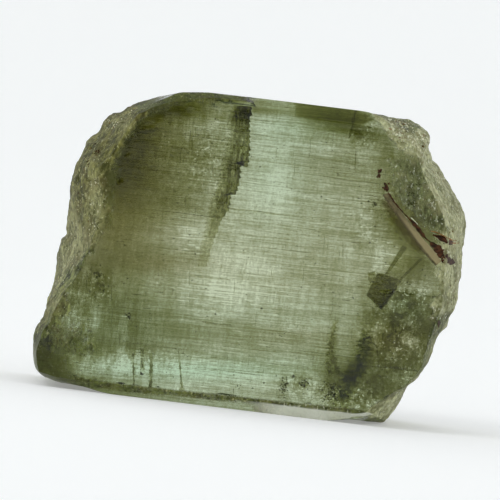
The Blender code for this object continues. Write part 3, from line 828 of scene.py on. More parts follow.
def crystal_material():
    n = Nodes("green_tourmaline")
    frost, zone, front = n.attribute("frost"), n.attribute("darkness"), n.attribute("front")
    pale, warmth = n.attribute("pale"), n.attribute("warmth")
    q = n.math("MULTIPLY_ADD", n.x, -0.014, n.z)  # constant along each striation

    def streak(size_x, size_q, detail, shift):
        v = n.vector(
            n.math("MULTIPLY_ADD", n.x, 1.0 / size_x, shift),
            n.math("MULTIPLY_ADD", n.y, 0.5, shift * 1.3),
            n.math("MULTIPLY_ADD", q, 1.0 / size_q, shift * 2.1),
        )
        t = n.tree.nodes.new("ShaderNodeTexNoise")
        n.put(t.inputs["Vector"], v)
        t.inputs["Scale"].default_value = 1.0
        t.inputs["Detail"].default_value = detail
        t.inputs["Roughness"].default_value = 0.6
        return t.outputs["Fac"]

    quiet, bright, mottle = n.attribute("quiet"), n.attribute("glint"), n.attribute("mottle")
    bands = n.ramp(streak(5.0, 0.28, 2.0, 5.3), 0.30, 0.70, -0.09, 0.09)
    long_lines = n.ramp(streak(3.4, 0.050, 1.0, 3.1), 0.30, 0.72, -0.12, 0.13)
    fine_lines = n.ramp(streak(1.10, 0.030, 2.0, 7.7), 0.34, 0.66, -0.21, 0.19)
    upright = n.attribute("upright")
    columns = n.ramp(n.noise((0.10, 3.0, 1.1), 2.0, 0.6, 11.3), 0.36, 0.66, -0.08, 0.09)
    broad_columns = n.times(n.ramp(n.noise((0.20, 3.0, 0.80), 2.0, 0.55, 67.3), 0.36, 0.64, -0.26, 0.30), upright)
    thin_columns = n.times(n.ramp(n.noise((0.045, 3.0, 0.42), 2.0, 0.6, 73.9), 0.36, 0.66, -0.18, 0.18), upright)
    # painted glints: short bright dashes that stand upright
    upright_flashes = n.times(n.ramp(n.noise((0.032, 0.5, 0.24), 1.0, 0.5, 79.1), 0.66, 0.74, 0.0, -1.2), n.attribute("upright_glint"))
    weave = n.ramp(n.noise((0.045, 0.5, 0.16), 1.0, 0.6, 13.9), 0.30, 0.70, -0.08, 0.08)
    grain = n.ramp(n.noise((0.050, 0.08, 0.040), 2.0, 0.65, 5.9), 0.32, 0.70, -0.13, 0.16)
    clouds = n.ramp(n.noise((0.7, 1.0, 0.35), 3.0, 0.6, 2.2), 0.30, 0.72, -0.12, 0.12)
    dark_lines = n.ramp(streak(1.6, 0.034, 1.0, 17.1), 0.66, 0.71, 0.0, 0.38)
    dashes = n.ramp(streak(0.22, 0.030, 1.0, 23.3), 0.70, 0.75, 0.0, 0.42)
    # painted glints: bright dashes along the lines, and brighter flashes where the glint attribute is set
    glints = n.ramp(streak(0.42, 0.034, 1.0, 29.9), 0.66, 0.74, 0.0, -0.44)
    flashes = n.times(n.ramp(streak(0.26, 0.036, 1.0, 53.7), 0.58, 0.68, 0.0, -1.0), bright)
    specks = n.ramp(n.noise((0.042, 0.08, 0.038), 1.0, 0.5, 37.1), 0.72, 0.78, 0.0, 0.60)
    blots = n.ramp(n.noise((0.30, 0.4, 0.32), 4.0, 0.70, 71.0), 0.40, 0.60, -0.75, 0.75)
    crackle = n.ramp(n.noise((0.075, 0.1, 0.085), 3.0, 0.68, 83.0), 0.38, 0.62, -0.52, 0.52)
    # painted glitter: bright spots in the mottled parts
    glitter = n.ramp(n.noise((0.052, 0.1, 0.058), 1.0, 0.5, 91.0), 0.64, 0.70, 0.0, -1.5)
    lines = n.times(n.add(bands, long_lines, fine_lines, dark_lines, glints), n.attribute("lined"))
    on_front = n.add(n.times(n.add(blots, crackle, glitter), mottle), lines, columns, broad_columns, thin_columns, upright_flashes, weave, grain, n.times(n.add(dashes, specks), n.math("MULTIPLY_ADD", n.attribute("lined"), 0.8, 0.2, clamp=True)), flashes)
    patterned = n.add(clouds, n.times(on_front, n.math("MULTIPLY_ADD", front, 0.60, 0.40)))
    # the volume takes 0.42 of it, and of the rest the front takes three quarters and the back a quarter. A surface
    # tints what passes by the root of its colour, so the exponents go in doubled.
    share = n.math("MULTIPLY_ADD", front, 1.0, 0.5)
    darkness = n.math("MAXIMUM", n.math("MULTIPLY", n.add(zone, patterned, -0.50), share), 0.0)
    clear = n.green(darkness, n.times(warmth, share), (1.0, 1.0, 1.15), 0.21, 0.08)

    crumbs = n.ramp(n.noise((0.085, 0.10, 0.14), 5.0, 0.70, 1.4), 0.36, 0.64, smooth=False)
    lumps = n.ramp(n.noise((0.34, 0.5, 0.50), 2.0, 0.5, 6.6), 0.32, 0.68)
    tone, off_middle = n.grains((0.075, 0.10, 0.115), 2.7)
    # each grain's own tone, with painted shade towards its border, where the bump below sinks
    grains = n.math("MULTIPLY_ADD", tone, 0.75, n.ramp(off_middle, 0.15, 0.70, 0.30, -0.15))
    glint_flecks = n.ramp(n.noise((0.050, 0.08, 0.080), 2.0, 0.6, 9.4), 0.60, 0.69)
    hollows = n.ramp(n.noise((0.075, 0.12, 0.085), 2.0, 0.6, 15.2), 0.64, 0.73)
    stain = n.ramp(n.noise((0.5, 0.6, 0.45), 3.0, 0.6, 21.0), 0.46, 0.66)
    rust = n.ramp(n.noise((0.12, 0.2, 0.10), 2.0, 0.6, 41.0), 0.64, 0.72)
    bark = n.ramp(n.noise((0.11, 0.14, 0.20), 3.0, 0.6, 34.0), 0.34, 0.66)
    green = n.attribute("green")
    dark_side = n.mix(green, n.mix(pale, (0.042, 0.044, 0.002), (0.19, 0.195, 0.060)), (0.016, 0.021, 0.001))
    # painted glints also lighten the frost where short bright dashes stand upright
    light_side = n.mix(green, n.mix(pale, (0.27, 0.262, 0.055), (0.82, 0.82, 0.48)), n.mix(n.attribute("upright_glint"), (0.17, 0.205, 0.036), (0.42, 0.46, 0.15)))
    bright_side = n.mix(pale, (0.52, 0.51, 0.22), (1.0, 1.0, 0.84))
    tones = n.add(n.times(lumps, 0.55), n.times(crumbs, 0.85), n.times(grains, 0.55), n.times(bark, n.ramp(pale, 0.35, 0.60, 0.50, 0.0)), n.ramp(pale, 0.35, 0.60, 0.0, 0.25))
    broad_tones = n.ramp(n.noise((1.0, 0.9, 1.1), 3.0, 0.6, 88.0), 0.34, 0.66, -0.26, 0.20)
    tones = n.add(tones, n.times(broad_tones, n.math("SUBTRACT", 1.0, front)))
    shaded = n.math("ADD", tones, -0.74, clamp=True)
    frosted = n.mix(shaded, dark_side, light_side)
    frosted = n.mix(n.times(stain, 0.40), frosted, n.mix(pale, (0.115, 0.095, 0.018), (0.42, 0.37, 0.18)))
    frosted = n.mix(n.times(rust, 0.55), frosted, n.mix(pale, (0.085, 0.045, 0.008), (0.22, 0.13, 0.045)))
    # painted glints: bright flecks on the broken surface
    frosted = n.mix(n.times(glint_flecks, 0.80), frosted, bright_side)
    # painted shade in the hollows, which the bump below sinks
    frosted = n.mix(n.times(hollows, 0.85), frosted, n.mix(pale, (0.020, 0.020, 0.002), (0.070, 0.065, 0.018)))
    soft_clouds = n.ramp(n.noise((0.22, 0.3, 0.10), 3.0, 0.6, 61.0), 0.30, 0.70)
    crust = n.attribute("crust")
    patches = n.ramp(n.noise((0.20, 0.25, 0.17), 3.0, 0.65, 45.0), 0.40, 0.62)
    frosted = n.mix(n.times(patches, crust, 0.60), frosted, (0.25, 0.235, 0.065))
    ochre = n.ramp(n.noise((0.11, 0.2, 0.10), 2.0, 0.6, 52.0), 0.60, 0.70)
    frosted = n.mix(n.times(ochre, crust, 0.70), frosted, (0.20, 0.125, 0.035))
    # painted glints: bright sparkle on the crust
    sparks = n.ramp(n.noise((0.055, 0.1, 0.050), 1.0, 0.5, 58.0), 0.62, 0.68)
    frosted = n.mix(n.times(sparks, crust, 0.90), frosted, (1.0, 1.0, 0.78))
    # the painted reflection on the foot bevel, pale white
    frosted = n.mix(n.attribute("painted_foot_reflection"), frosted, (1.0, 1.0, 0.90))
    frosted = n.mix(quiet, frosted, n.mix(soft_clouds, (0.032, 0.039, 0.002), (0.072, 0.082, 0.008)))
    # the break fades in grain by grain
    grit = n.noise((0.060, 0.08, 0.075), 3.0, 0.6, 97.0)
    crisp = n.ramp(n.math("MULTIPLY_ADD", n.add(grit, -0.5), 0.7, frost), 0.22, 0.62)
    frost = n.add(n.times(crisp, n.math("SUBTRACT", 1.0, quiet)), n.times(frost, quiet))
    # the narrow faces are dull along fine lines
    dull_lines = n.ramp(n.noise((2.2, 0.050, 3.0), 3.0, 0.6, 7.0), 0.34, 0.66, 0.16, 0.62)
    frost = n.math("MAXIMUM", frost, n.times(n.attribute("narrow"), dull_lines))
    colour = n.mix(frost, clear, frosted)

    shader = n.principled(
        Base_Color=colour,
        Roughness=n.add(n.ramp(frost, 0.0, 1.0, 0.035, 0.58), n.times(n.ramp(grain, -0.13, 0.16), 0.04)),
        IOR=1.63,
        Specular_IOR_Level=0.25,
        Specular_Tint=(0.5, 0.5, 0.5, 1.0),
        Transmission_Weight=n.ramp(frost, 0.0, 1.0, 0.98, n.ramp(pale, 0.0, 1.0, 0.20, 0.42)),
    )
    fine = n.add(
        n.times(streak(1.5, 0.03, 1.0, 4.4), n.math("SUBTRACT", 1.0, frost), 0.06),
        n.times(n.add(crumbs, n.times(hollows, -1.0), n.times(off_middle, -0.7)), frost, n.math("SUBTRACT", 1.0, quiet), 1.3),
    )
    n.put(shader.inputs["Normal"], n.bump(fine, 1.0, 0.016))

    volume = n.tree.nodes.new("ShaderNodeVolumeAbsorption")
    volume.inputs["Color"].default_value = (0.2525, 0.402, 0.025, 1.0)
    volume.inputs["Density"].default_value = 160.0
    return n.finish(shader.outputs[0], volume.outputs[0])


crystal, SKIN, SKIN_NORMAL = make_crystal()
crystal.data.materials.append(crystal_material())
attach(crystal, "root")
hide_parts(CRYSTAL)


# ---- what is sealed in it ----------------------------------------------------------------------------------------
FRONT = -THICKNESS / 2
GLASS = 1.63


def inside(px, py, y):
    """A point in the crystal at depth y that is seen at a pixel, in millimetres. What lies deeper looks a little
    nearer than it is, and a little closer to the middle of the picture."""
    x, z = at(px, py)
    ax, az = at(250, 250)
    seen = FRONT + (np.asarray(y, float) - FRONT) / GLASS
    grow = (CAMERA_AWAY + seen - EYE_PLANE) / CAMERA_AWAY
    return np.stack([ax + (x - ax) * grow, np.broadcast_to(y, np.shape(x)) * 1.0, az + (z - az) * grow], axis=-1)


def resampled(points, parts):
    """Points spaced evenly along a line of pixels."""
    p = np.array(points, float)
    run = np.concatenate([[0], np.cumsum(np.hypot(*np.diff(p, axis=0).T))])
    t = np.linspace(0, run[-1], parts)
    return np.stack([np.interp(t, run, p[:, k]) for k in (0, 1)], axis=1)


def sealed_sheet(name, left, right, depth_left, depth_right, rows=60, columns=14, thick=0.012, wave=0.05, seed=0,
                 fray_left=0.0, fray_right=0.0, bulge=0.0, below=None, on_top=None):
    """A thin closed sheet between two borders given as pixels. Its numbers are across (0 at the left border to 1) and
    along (0 at the first pixel to 1). fray is how far a border wanders, in pixels, and bulge how much thicker the
    middle is. With below, it follows the skin at that depth under it."""
    rng = np.random.default_rng(seed + 40)
    a, b = resampled(left, rows), resampled(right, rows)
    for border, fray in ((a, fray_left), (b, fray_right)):
        teeth, reach = np.zeros(rows), 0.0
        for i in range(rows):
            reach = 0.2 * rng.random() if reach > 1 else reach + rng.uniform(0.1, 0.5)
            teeth[i] = reach
        border[:, 0] += fray * (teeth - 0.6) * (1 if border is b else -1)
    w = np.linspace(0, 1, columns)[None, :, None]
    grid = a[:, None, :] * (1 - w) + b[:, None, :] * w
    across = np.broadcast_to(w[..., 0], grid.shape[:2]).ravel()
    along = np.broadcast_to(np.linspace(0, 1, rows)[:, None], grid.shape[:2]).ravel()
    y = depth_left + (depth_right - depth_left) * across
    flat = grid.reshape(-1, 2)
    here = np.stack([flat[:, 0] * PIXEL, np.zeros(len(flat)), flat[:, 1] * PIXEL], axis=1)
    if below is not None:
        y = np.array([skin(a, b) for a, b in flat]) + below
    y = y + wave * noise(here, (0.5, 1.0, 0.5), 100 + seed)
    front = inside(flat[:, 0], flat[:, 1], y)
    if on_top is not None:
        front = np.array([on_skin(a, b, on_top) for a, b in flat])
    body = thick + bulge * np.sin(math.pi * across) ** 0.5 * np.sin(math.pi * np.clip(along, 0.001, 0.999)) ** 0.5
    back = front + np.stack([np.zeros(len(flat)), body, np.zeros(len(flat))], axis=1)
    front[:, 1] -= 0.5 * (body - thick)
    n = rows * columns
    ids = np.arange(n).reshape(rows, columns)
    quads = np.stack([ids[:-1, :-1], ids[1:, :-1], ids[1:, 1:], ids[:-1, 1:]], axis=-1).reshape(-1, 4)
    ring = np.concatenate([ids[0, :], ids[1:, -1], ids[-1, -2::-1], ids[-2:0:-1, 0]])
    walls = [(ring[i], ring[(i + 1) % len(ring)], ring[(i + 1) % len(ring)] + n, ring[i] + n) for i in range(len(ring))]
    faces = [tuple(q) for q in quads] + [tuple(q[::-1] + n) for q in quads] + walls
    sheet = mesh_object(name, np.concatenate([front, back]), faces)
    note(sheet, "across", np.tile(across, 2))
    note(sheet, "along", np.tile(along, 2))
    return sheet


def plate(corners, depth, thick=0.02):
    """Points and faces of a closed plate with straight sides. The corners are pixels, and depth is one number or one
    for each."""
    p = np.array(corners, float)
    y = np.broadcast_to(np.asarray(depth, float), (len(p),))
    front = inside(p[:, 0], p[:, 1], y)
    n = len(p)
    points = np.concatenate([front, front + np.array([0, thick, 0])])
    faces = [tuple(range(n)), tuple(range(2 * n - 1, n - 1, -1))]
    faces += [(i, i + n, (i + 1) % n + n, (i + 1) % n) for i in range(n)]
    return points, faces


def joined(name, solids, smooth=False):
    """One mesh from a list of (points, faces)."""
    points, faces, first = [], [], 0
    for p, f in solids:
        points.append(p)
        faces += [tuple(i + first for i in face) for face in f]
        first += len(p)
    return mesh_object(name, np.concatenate(points), faces, smooth)


def sliver(start, end, width, depth_width=None, blunt=0.8):
    """A pointed needle from start to end, in millimetres, with four sides."""
    start, end = np.asarray(start, float), np.asarray(end, float)
    along = end - start
    length = np.linalg.norm(along)
    a = along / max(length, 1e-9)
    side = np.cross(a, (0, 1, 0))
    side /= max(np.linalg.norm(side), 1e-9)
    deep = np.array([0, 1, 0.0])
    w, d = width / 2, (depth_width or width) / 2
    points, faces = [start], []
    for t, s in ((0.2, blunt), (0.8, blunt)):
        c = start + along * t
        points += [c + side * w * s, c + deep * d * s, c - side * w * s, c - deep * d * s]
    points.append(end)
    for k in range(4):
        n = (k + 1) % 4
        faces.append((0, 1 + k, 1 + n))
        faces.append((1 + k, 5 + k, 5 + n, 1 + n))
        faces.append((5 + k, 9, 5 + n))
    return np.array(points), faces


def crack(line, width, depth):
    """Slivers end to end along a line of pixels. width is in pixels, at each of its points or one for all."""
    widths = np.broadcast_to(np.asarray(width, float), (len(line),))
    made = []
    for i in range(len(line) - 1):
        (ax, ay), (bx, by) = line[i], line[i + 1]
        over = 0.12
        a = inside(ax - (bx - ax) * over, ay - (by - ay) * over, depth)
        b = inside(bx + (bx - ax) * over, by + (by - ay) * over, depth)
        made.append(sliver(a, b, PIXEL * (widths[i] + widths[i + 1]) / 2, 0.02, 1.0))
    return made


def crumb(centre, size, rng):
    """A small irregular grain with eight faces. size is by axis."""
    s = np.asarray(size, float) / 2
    p = np.array([(1, 0, 0), (-1, 0, 0), (0, 1, 0), (0, -1, 0), (0, 0, 1), (0, 0, -1)], float)
    p = p * (0.7 + 0.6 * rng.random((6, 1))) * s + np.asarray(centre, float)
    return p, [(0, 2, 4), (2, 1, 4), (1, 3, 4), (3, 0, 4), (2, 0, 5), (1, 2, 5), (3, 1, 5), (0, 3, 5)]


def veil_material(name, darkness, milk=0.0, milk_colour=(0.5, 0.52, 0.36), shade=None, weights=(1.0, 1.0, 1.63)):
    """A see-through film that takes light off what passes, with a share of milky scatter. shade lays its pattern."""
    n = Nodes(name)
    amount = shade(n) if shade else n.ramp(n.noise((0.06, 0.06, 0.05), 3.0, 0.6), 0.25, 0.75, 0.6, 1.3)
    # each film is crossed twice, at its front and its back
    clear = n.tree.nodes.new("ShaderNodeBsdfTransparent")
    n.put(clear.inputs["Color"], n.green(n.times(amount, darkness / 2), 0.0, weights))
    if milk <= 0:
        return n.finish(clear.outputs[0])
    matt = n.principled(
        Base_Color=n.mix(n.ramp(amount, 0.3, 1.4), tuple(0.7 * c for c in milk_colour), milk_colour), Roughness=0.6
    )
    last = n.tree.nodes.new("ShaderNodeMixShader")
    n.put(last.inputs[0], n.math("MULTIPLY", amount, milk / 2, clamp=True))
    n.tree.links.new(clear.outputs[0], last.inputs[1])
    n.tree.links.new(matt.outputs[0], last.inputs[2])
    return n.finish(last.outputs[0])


def mineral(name, dark, light, size=(0.03, 0.03, 0.03), rough=0.55, pattern=None):
    """A solid grain or rod, mottled between two colours."""
    n = Nodes(name)
    share = pattern(n) if pattern else n.ramp(n.noise(size, 2.0, 0.6), 0.35, 0.65)
    return n.finish(n.principled(Base_Color=n.mix(share, dark, light), Roughness=rough, Specular_IOR_Level=0.1).outputs[0])


def seal(piece, material):
    piece.data.materials.append(material)
    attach(piece, "root")
    return piece


# the front skin, for what lies in it or just under it
SKIN_PX, SKIN_PY = seen_at(SKIN)
facing_camera = SKIN_NORMAL[:, 1] < 0.25
SKIN_SEEN = np.stack([SKIN_PX[facing_camera], SKIN_PY[facing_camera], SKIN[facing_camera, 1]], axis=1)


def skin(px, py):
    """The depth of the surface that the camera sees at a pixel."""
    away = np.hypot(SKIN_SEEN[:, 0] - px, SKIN_SEEN[:, 1] - py)
    near = np.argsort(away)[:14]
    y = SKIN_SEEN[near, 2]
    weight = np.where(y < y.min() + 0.35, 1.0 / (away[near] + 0.4) ** 2, 0.0)
    return float((weight * y).sum() / weight.sum())


def on_body(px, py, room=2.2):
    """Whether the crystal is seen at a pixel and all round it."""
    spots = ((0, 0), (room, 0), (-room, 0), (0, room), (0, -room), (0.7 * room, 0.7 * room), (0.7 * room, -0.7 * room))
    return all(np.hypot(SKIN_SEEN[:, 0] - px - a, SKIN_SEEN[:, 1] - py - b).min() < 1.3 for a, b in spots)


def on_skin(px, py, lift=0.0):
    """A point on the surface where the camera sees it at a pixel, raised towards the camera by lift millimetres."""
    y = skin(px, py) - lift
    x, z = at(px, py)
    ax, az = at(250, 250)
    grow = (CAMERA_AWAY + y - EYE_PLANE) / CAMERA_AWAY
    return np.array([ax + (x - ax) * grow, y, az + (z - az) * grow])


# the healed fissure: a leaning, frayed, olive band
def band_shade(n):
    """Strongest at the right border and the top, streaked along the crystal, and worn away towards the left."""
    across, along = n.attribute("across"), n.attribute("along")
    body = n.ramp(across, 0.0, 0.45, 0.15, 0.78)
    body = n.math("MAXIMUM", body, n.times(n.ramp(along, 0.40, 0.0, 0.0, 1.25), n.ramp(across, 0.0, 0.45)))
    edge = n.ramp(across, 0.60, 0.94, 0.0, 0.22)
    fade = n.ramp(along, 0.42, 0.92, 1.0, 0.20)
    top = n.times(n.ramp(along, 0.0, 0.04, 0.60, 1.0), n.ramp(along, 0.03, 0.11, 1.60, 0.80), n.ramp(along, 0.12, 0.42, 1.0, 1.50))
    streaks = n.ramp(n.noise((0.20, 0.4, 0.030), 3.0, 0.65, 8.1), 0.30, 0.70, 0.75, 1.20)
    blots = n.ramp(n.noise((0.045, 0.4, 0.24), 3.0, 0.65, 2.1), 0.36, 0.64, 0.50, 1.38)
    return n.times(n.add(body, edge), fade, top, streaks, blots)


band = sealed_sheet(
    "healed_fissure_band",
    [(233, 105), (230, 112), (227, 121), (230, 131), (228, 140), (227, 147), (224, 156), (222, 163), (220, 172),
     (218, 181), (217, 187), (215, 190), (213, 196), (211, 200), (210, 205), (209, 210), (208, 217), (206, 226),
     (202, 240), (194, 266)],
    [(251.5, 105), (252, 112), (250, 118), (250, 143), (248.8, 165), (246, 166.5), (244, 160), (241, 160), (240.4, 176),
     (238.6, 184), (237, 191), (234.5, 194), (231.3, 190.5), (230.4, 200), (229.5, 206), (226, 213), (221.8, 218),
     (218, 229), (213, 242), (206, 266)],
    -0.9, -1.9, rows=150, columns=24, thick=0.004, seed=1, fray_left=3.0, fray_right=1.8,
)
seal(band, veil_material("healed_fissure", 1.75, 0.0, (0.10, 0.09, 0.025), band_shade, (1.0, 1.0, 1.75)))


def smear_shade(n):
    across, along = n.attribute("across"), n.attribute("along")
    body = n.times(n.ramp(across, 0.0, 0.30), n.ramp(across, 1.0, 0.70))
    ends = n.times(n.ramp(along, 0.0, 0.12), n.ramp(along, 1.0, 0.86))
    streaks = n.ramp(n.noise((0.16, 0.3, 0.05), 3.0, 0.65, 3.3), 0.30, 0.70, 0.50, 1.40)
    blots = n.ramp(n.noise((0.11, 0.3, 0.15), 4.0, 0.7, 5.8), 0.40, 0.60, 0.20, 1.60)
    return n.times(body, ends, streaks, blots)


lower = sealed_sheet(
    "healed_fissure_lower",
    [(360, 328), (357.5, 343), (353, 354), (349, 364), (343, 373), (337, 381), (332, 391), (328, 404)],
    [(370, 327), (372, 341), (372, 353), (370, 364), (366, 374), (361, 383), (355, 394), (349, 408)],
    -0.7, -1.8, rows=70, columns=18, seed=2, fray_left=5.0, fray_right=5.0,
)
seal(lower, veil_material("healed_fissure_low", 1.15, 0.20, (0.060, 0.062, 0.018), smear_shade, (1.10, 1.0, 2.8)))

upright = sealed_sheet(
    "upright_smear",
    [(333, 318), (330, 335), (327, 350), (325, 360), (326, 378)], [(338, 318), (335, 335), (334, 350), (338, 360), (345, 378)],
    -1.5, -1.8, rows=50, columns=12, seed=3, fray_left=3.0, fray_right=3.0,
)
seal(upright, veil_material("upright_smear", 0.75, 0.0, (0.14, 0.14, 0.05), smear_shade, (1.0, 1.0, 2.4)))

# the four-cornered dark crystal and the pale prism it ends
def under_skin(corners, thick=0.02):
    """A closed plate that follows the skin just below it, with straight sides between its corners, given as pixels."""
    return plate(corners, [skin(px, py) + 0.05 for px, py in corners], thick)


RHOMB = [(378, 271), (399, 277.5), (395.8, 288), (381.6, 308.4), (366.8, 293.4), (371, 284)]
seal(joined("dark_rhomb", [under_skin(RHOMB, 0.02)]), veil_material("dark_rhomb", 0.38, 0.30, (0.14, 0.14, 0.038), weights=(0.95, 1.0, 2.0)))
edges = [
    under_skin([(366.8, 294), (369.4, 291.4), (383.2, 305.0), (381.4, 308.4)]),
    under_skin([(381.4, 308.4), (380.6, 305.6), (393.4, 286.6), (395.6, 288)]),
    under_skin([(402.5, 243.8), (406.9, 246.4), (388.5, 272.5), (384.6, 273.2)]),  # left side of the prism
    under_skin([(420.6, 256.2), (422.8, 257.6), (399.8, 280.6), (398.2, 278.6)]),  # its right side
    under_skin([(368, 271.2), (375.3, 269.5), (375.8, 276.5), (370.5, 282), (368.2, 278)]),
    under_skin([(399, 279), (401.4, 280), (386.0, 304.6), (383.8, 306)]),
]
seal(joined("prism_edges", edges), veil_material("prism_edges", 0.66, 0.0, weights=(1.0, 1.0, 1.8)))


# the lath and the painted shadow beside it
def lath_pattern(n):
    across, along = n.attribute("across"), n.attribute("along")
    line = n.tree.nodes.new("ShaderNodeTexNoise")
    n.put(line.inputs["Vector"], n.vector(n.times(across, 6.0), n.times(along, 1.3), 0.4))
    line.inputs["Scale"].default_value = 1.0
    line.inputs["Detail"].default_value = 2.0
    stripes = n.ramp(line.outputs["Fac"], 0.30, 0.70, 0.70, 1.30)
    mottle = n.ramp(n.noise((0.05, 0.05, 0.05), 3.0, 0.6, 4.7), 0.25, 0.75, 0.75, 1.25)
    return n.times(stripes, mottle, n.ramp(along, 0.0, 1.0, 1.25, 0.65))


def lath_material():
    """Tan and nearly opaque, with painted light and shade: dark at its left side, lightest along its right half towards
    the lower end.
    """
    n = Nodes("lath")
    across, along = n.attribute("across"), n.attribute("along")
    # painted light and shade: lit along its right half and towards its lower end, shaded at its left side
    lit = n.times(n.ramp(along, 0.15, 0.80, 0.15, 1.0), n.ramp(across, 0.12, 0.50))
    grain = n.ramp(n.noise((0.07, 0.07, 0.07), 3.0, 0.6, 4.7), 0.3, 0.7, -0.12, 0.12)
    lit = n.math("ADD", n.times(lit, lath_pattern(n), n.ramp(along, 0.0, 1.0, 0.9, 2.2)), grain, clamp=True)
    matt = n.principled(Base_Color=n.mix(lit, (0.105, 0.082, 0.030), (0.43, 0.36, 0.175)), Roughness=0.6)
    clear = n.tree.nodes.new("ShaderNodeBsdfTransparent")
    n.put(clear.inputs["Color"], n.green(0.45, 0.0, (0.88, 1.0, 1.4)))
    last = n.tree.nodes.new("ShaderNodeMixShader")
    n.put(last.inputs[0], 0.62)
    n.tree.links.new(clear.outputs[0], last.inputs[1])
    n.tree.links.new(matt.outputs[0], last.inputs[2])
    return n.finish(last.outputs[0])


def painted_shadow_shade(n):
    across, along = n.attribute("across"), n.attribute("along")
    body = n.times(n.ramp(across, 0.0, 0.75), n.ramp(along, 0.0, 0.10), n.ramp(along, 1.0, 0.90))
    streaks = n.ramp(n.noise((0.075, 0.3, 0.075), 4.0, 0.70, 3.3), 0.36, 0.64, 0.45, 1.45)
    return n.times(body, streaks)


LATH_LEFT = [(382.5, 193), (386, 199), (391, 206), (395.5, 212.5), (401, 220), (408, 230), (416, 241), (424, 251.5), (431, 260), (436, 264.5)]
LATH_RIGHT = [(388.2, 191.5), (392, 198), (397, 205), (403, 212.5), (409, 220), (415, 227.5), (422, 236), (429, 243.5), (436, 252), (441.5, 260)]
lath = sealed_sheet(
    "lath", LATH_LEFT, LATH_RIGHT,
    0, 0, rows=44, columns=14, thick=0.05, wave=0.0, seed=4, fray_left=0.5, on_top=0.014,
)
seal(lath, lath_material())
# painted shadow of the lath: a dark, streaked veil along its left side
lath_shadow = sealed_sheet(
    "painted_shadow_beside_lath",
    [(378, 197), (379.5, 203), (384, 210), (389, 218), (393, 226), (399, 234), (406, 242), (415, 250)],
    [(386, 196), (392, 204), (398.5, 213), (404, 221), (411, 231), (419, 242), (423, 248), (427, 255)],
    0, 0, rows=44, columns=12, thick=0.04, wave=0.0, seed=5, fray_left=3.0, on_top=0.006,
)
seal(lath_shadow, veil_material("painted_shadow_beside_lath", 0.95, 0.42, (0.15, 0.13, 0.05), painted_shadow_shade, (0.90, 1.0, 1.45)))

# Iron stain and pits, which lie in the skin itself
def skin_line(line, width, lift=0.006, step=1.6):
    """A crack that follows the surface along a line of pixels. width is in pixels, at each point or one for all."""
    widths = np.broadcast_to(np.asarray(width, float), (len(line),))
    p = np.array(line, float)
    run = np.concatenate([[0], np.cumsum(np.hypot(*np.diff(p, axis=0).T))])
    parts = max(2, int(run[-1] / step) + 1)
    t = np.linspace(0, run[-1], parts)
    xs, ys, ws = np.interp(t, run, p[:, 0]), np.interp(t, run, p[:, 1]), np.interp(t, run, widths)
    ws = ws * (1 + 0.25 * np.sin(t * 2.3 + xs))
    points, faces = [], []
    for i in range(parts):
        j, k = min(i + 1, parts - 1), max(i - 1, 0)
        dx, dy = xs[j] - xs[k], ys[j] - ys[k]
        size = max(math.hypot(dx, dy), 1e-6)
        nx, ny = -dy / size * ws[i] / 2, dx / size * ws[i] / 2
        a, b, c = on_skin(xs[i] + nx, ys[i] + ny, lift * 0.2), on_skin(xs[i], ys[i], lift), on_skin(xs[i] - nx, ys[i] - ny, lift * 0.2)
        points += [a, b, c, b + np.array([0, 0.05, 0])]
    for i in range(parts - 1):
        m = 4 * i
        for k in range(4):
            q = (k + 1) % 4
            faces.append((m + k, m + q, m + 4 + q, m + 4 + k))
    faces.append((3, 2, 1, 0))
    m = 4 * (parts - 1)
    faces.append((m, m + 1, m + 2, m + 3))
    return np.array(points), faces


rng = np.random.default_rng(11)
stains = []
for cx, cy, wx, wy, many in ((379.3, 172, 1.5, 3.0, 14), (386.2, 185.6, 2.2, 3.4, 18)):
    for _ in range(many):
        gx, gy = np.clip(rng.normal(0, 0.7, 2), -1.3, 1.3)
        size = PIXEL * rng.uniform(1.6, 3.2)
        stains.append(crumb(on_skin(cx + gx * wx, cy + gy * wy), (size, 0.03, size * 1.2), rng))
stains.append(skin_line([(388, 191), (391, 195.5), (394, 200.5), (399, 206), (404, 212), (409.5, 217.5)], (1.4, 2.2, 2.0, 1.5, 1.0, 1.4)))
stains.append(skin_line([(409.5, 217.5), (413, 221), (418, 227), (423, 233.5), (427.5, 239)], (1.6, 3.4, 3.8, 3.2, 1.0), 0.020))
stains.append(skin_line([(427, 238), (430.5, 240.8), (434, 243)], (1.4, 1.2, 1.6)))
stains.append(skin_line([(430.5, 241.5), (436, 245.5), (441, 251.5), (446.5, 258), (452, 261.5), (456, 261)], (2.2, 7.0, 9.5, 9.0, 5.5, 1.8), 0.022))
stains.append(skin_line([(433, 233.6), (438, 235.2), (443, 237.6), (448, 240.8), (453, 242.4)], (1.8, 3.2, 5.4, 5.2, 2.8), 0.030))
stains.append(skin_line([(438.5, 319.5), (440, 323), (439, 327)], (1.6, 3.2, 1.8)))
for cx, cy, wide in ((88.5, 162, 2.6), (94.7, 143, 2.0), (99, 150.5, 2.4), (94.5, 152, 1.4), (78.5, 193, 1.4), (85.5, 200.5, 1.2), (407, 131, 1.6)):
    for _ in range(5):
        gx, gy = rng.normal(0, 1.0, 2)
        size = PIXEL * wide * rng.uniform(0.6, 1.2)
        stains.append(crumb(on_skin(cx + gx, cy + gy), (size, 0.03, size), rng))
seal(joined("iron_stain", stains), mineral("iron_stain", (0.016, 0.008, 0.003), (0.078, 0.030, 0.012), (0.09, 0.05, 0.05)))
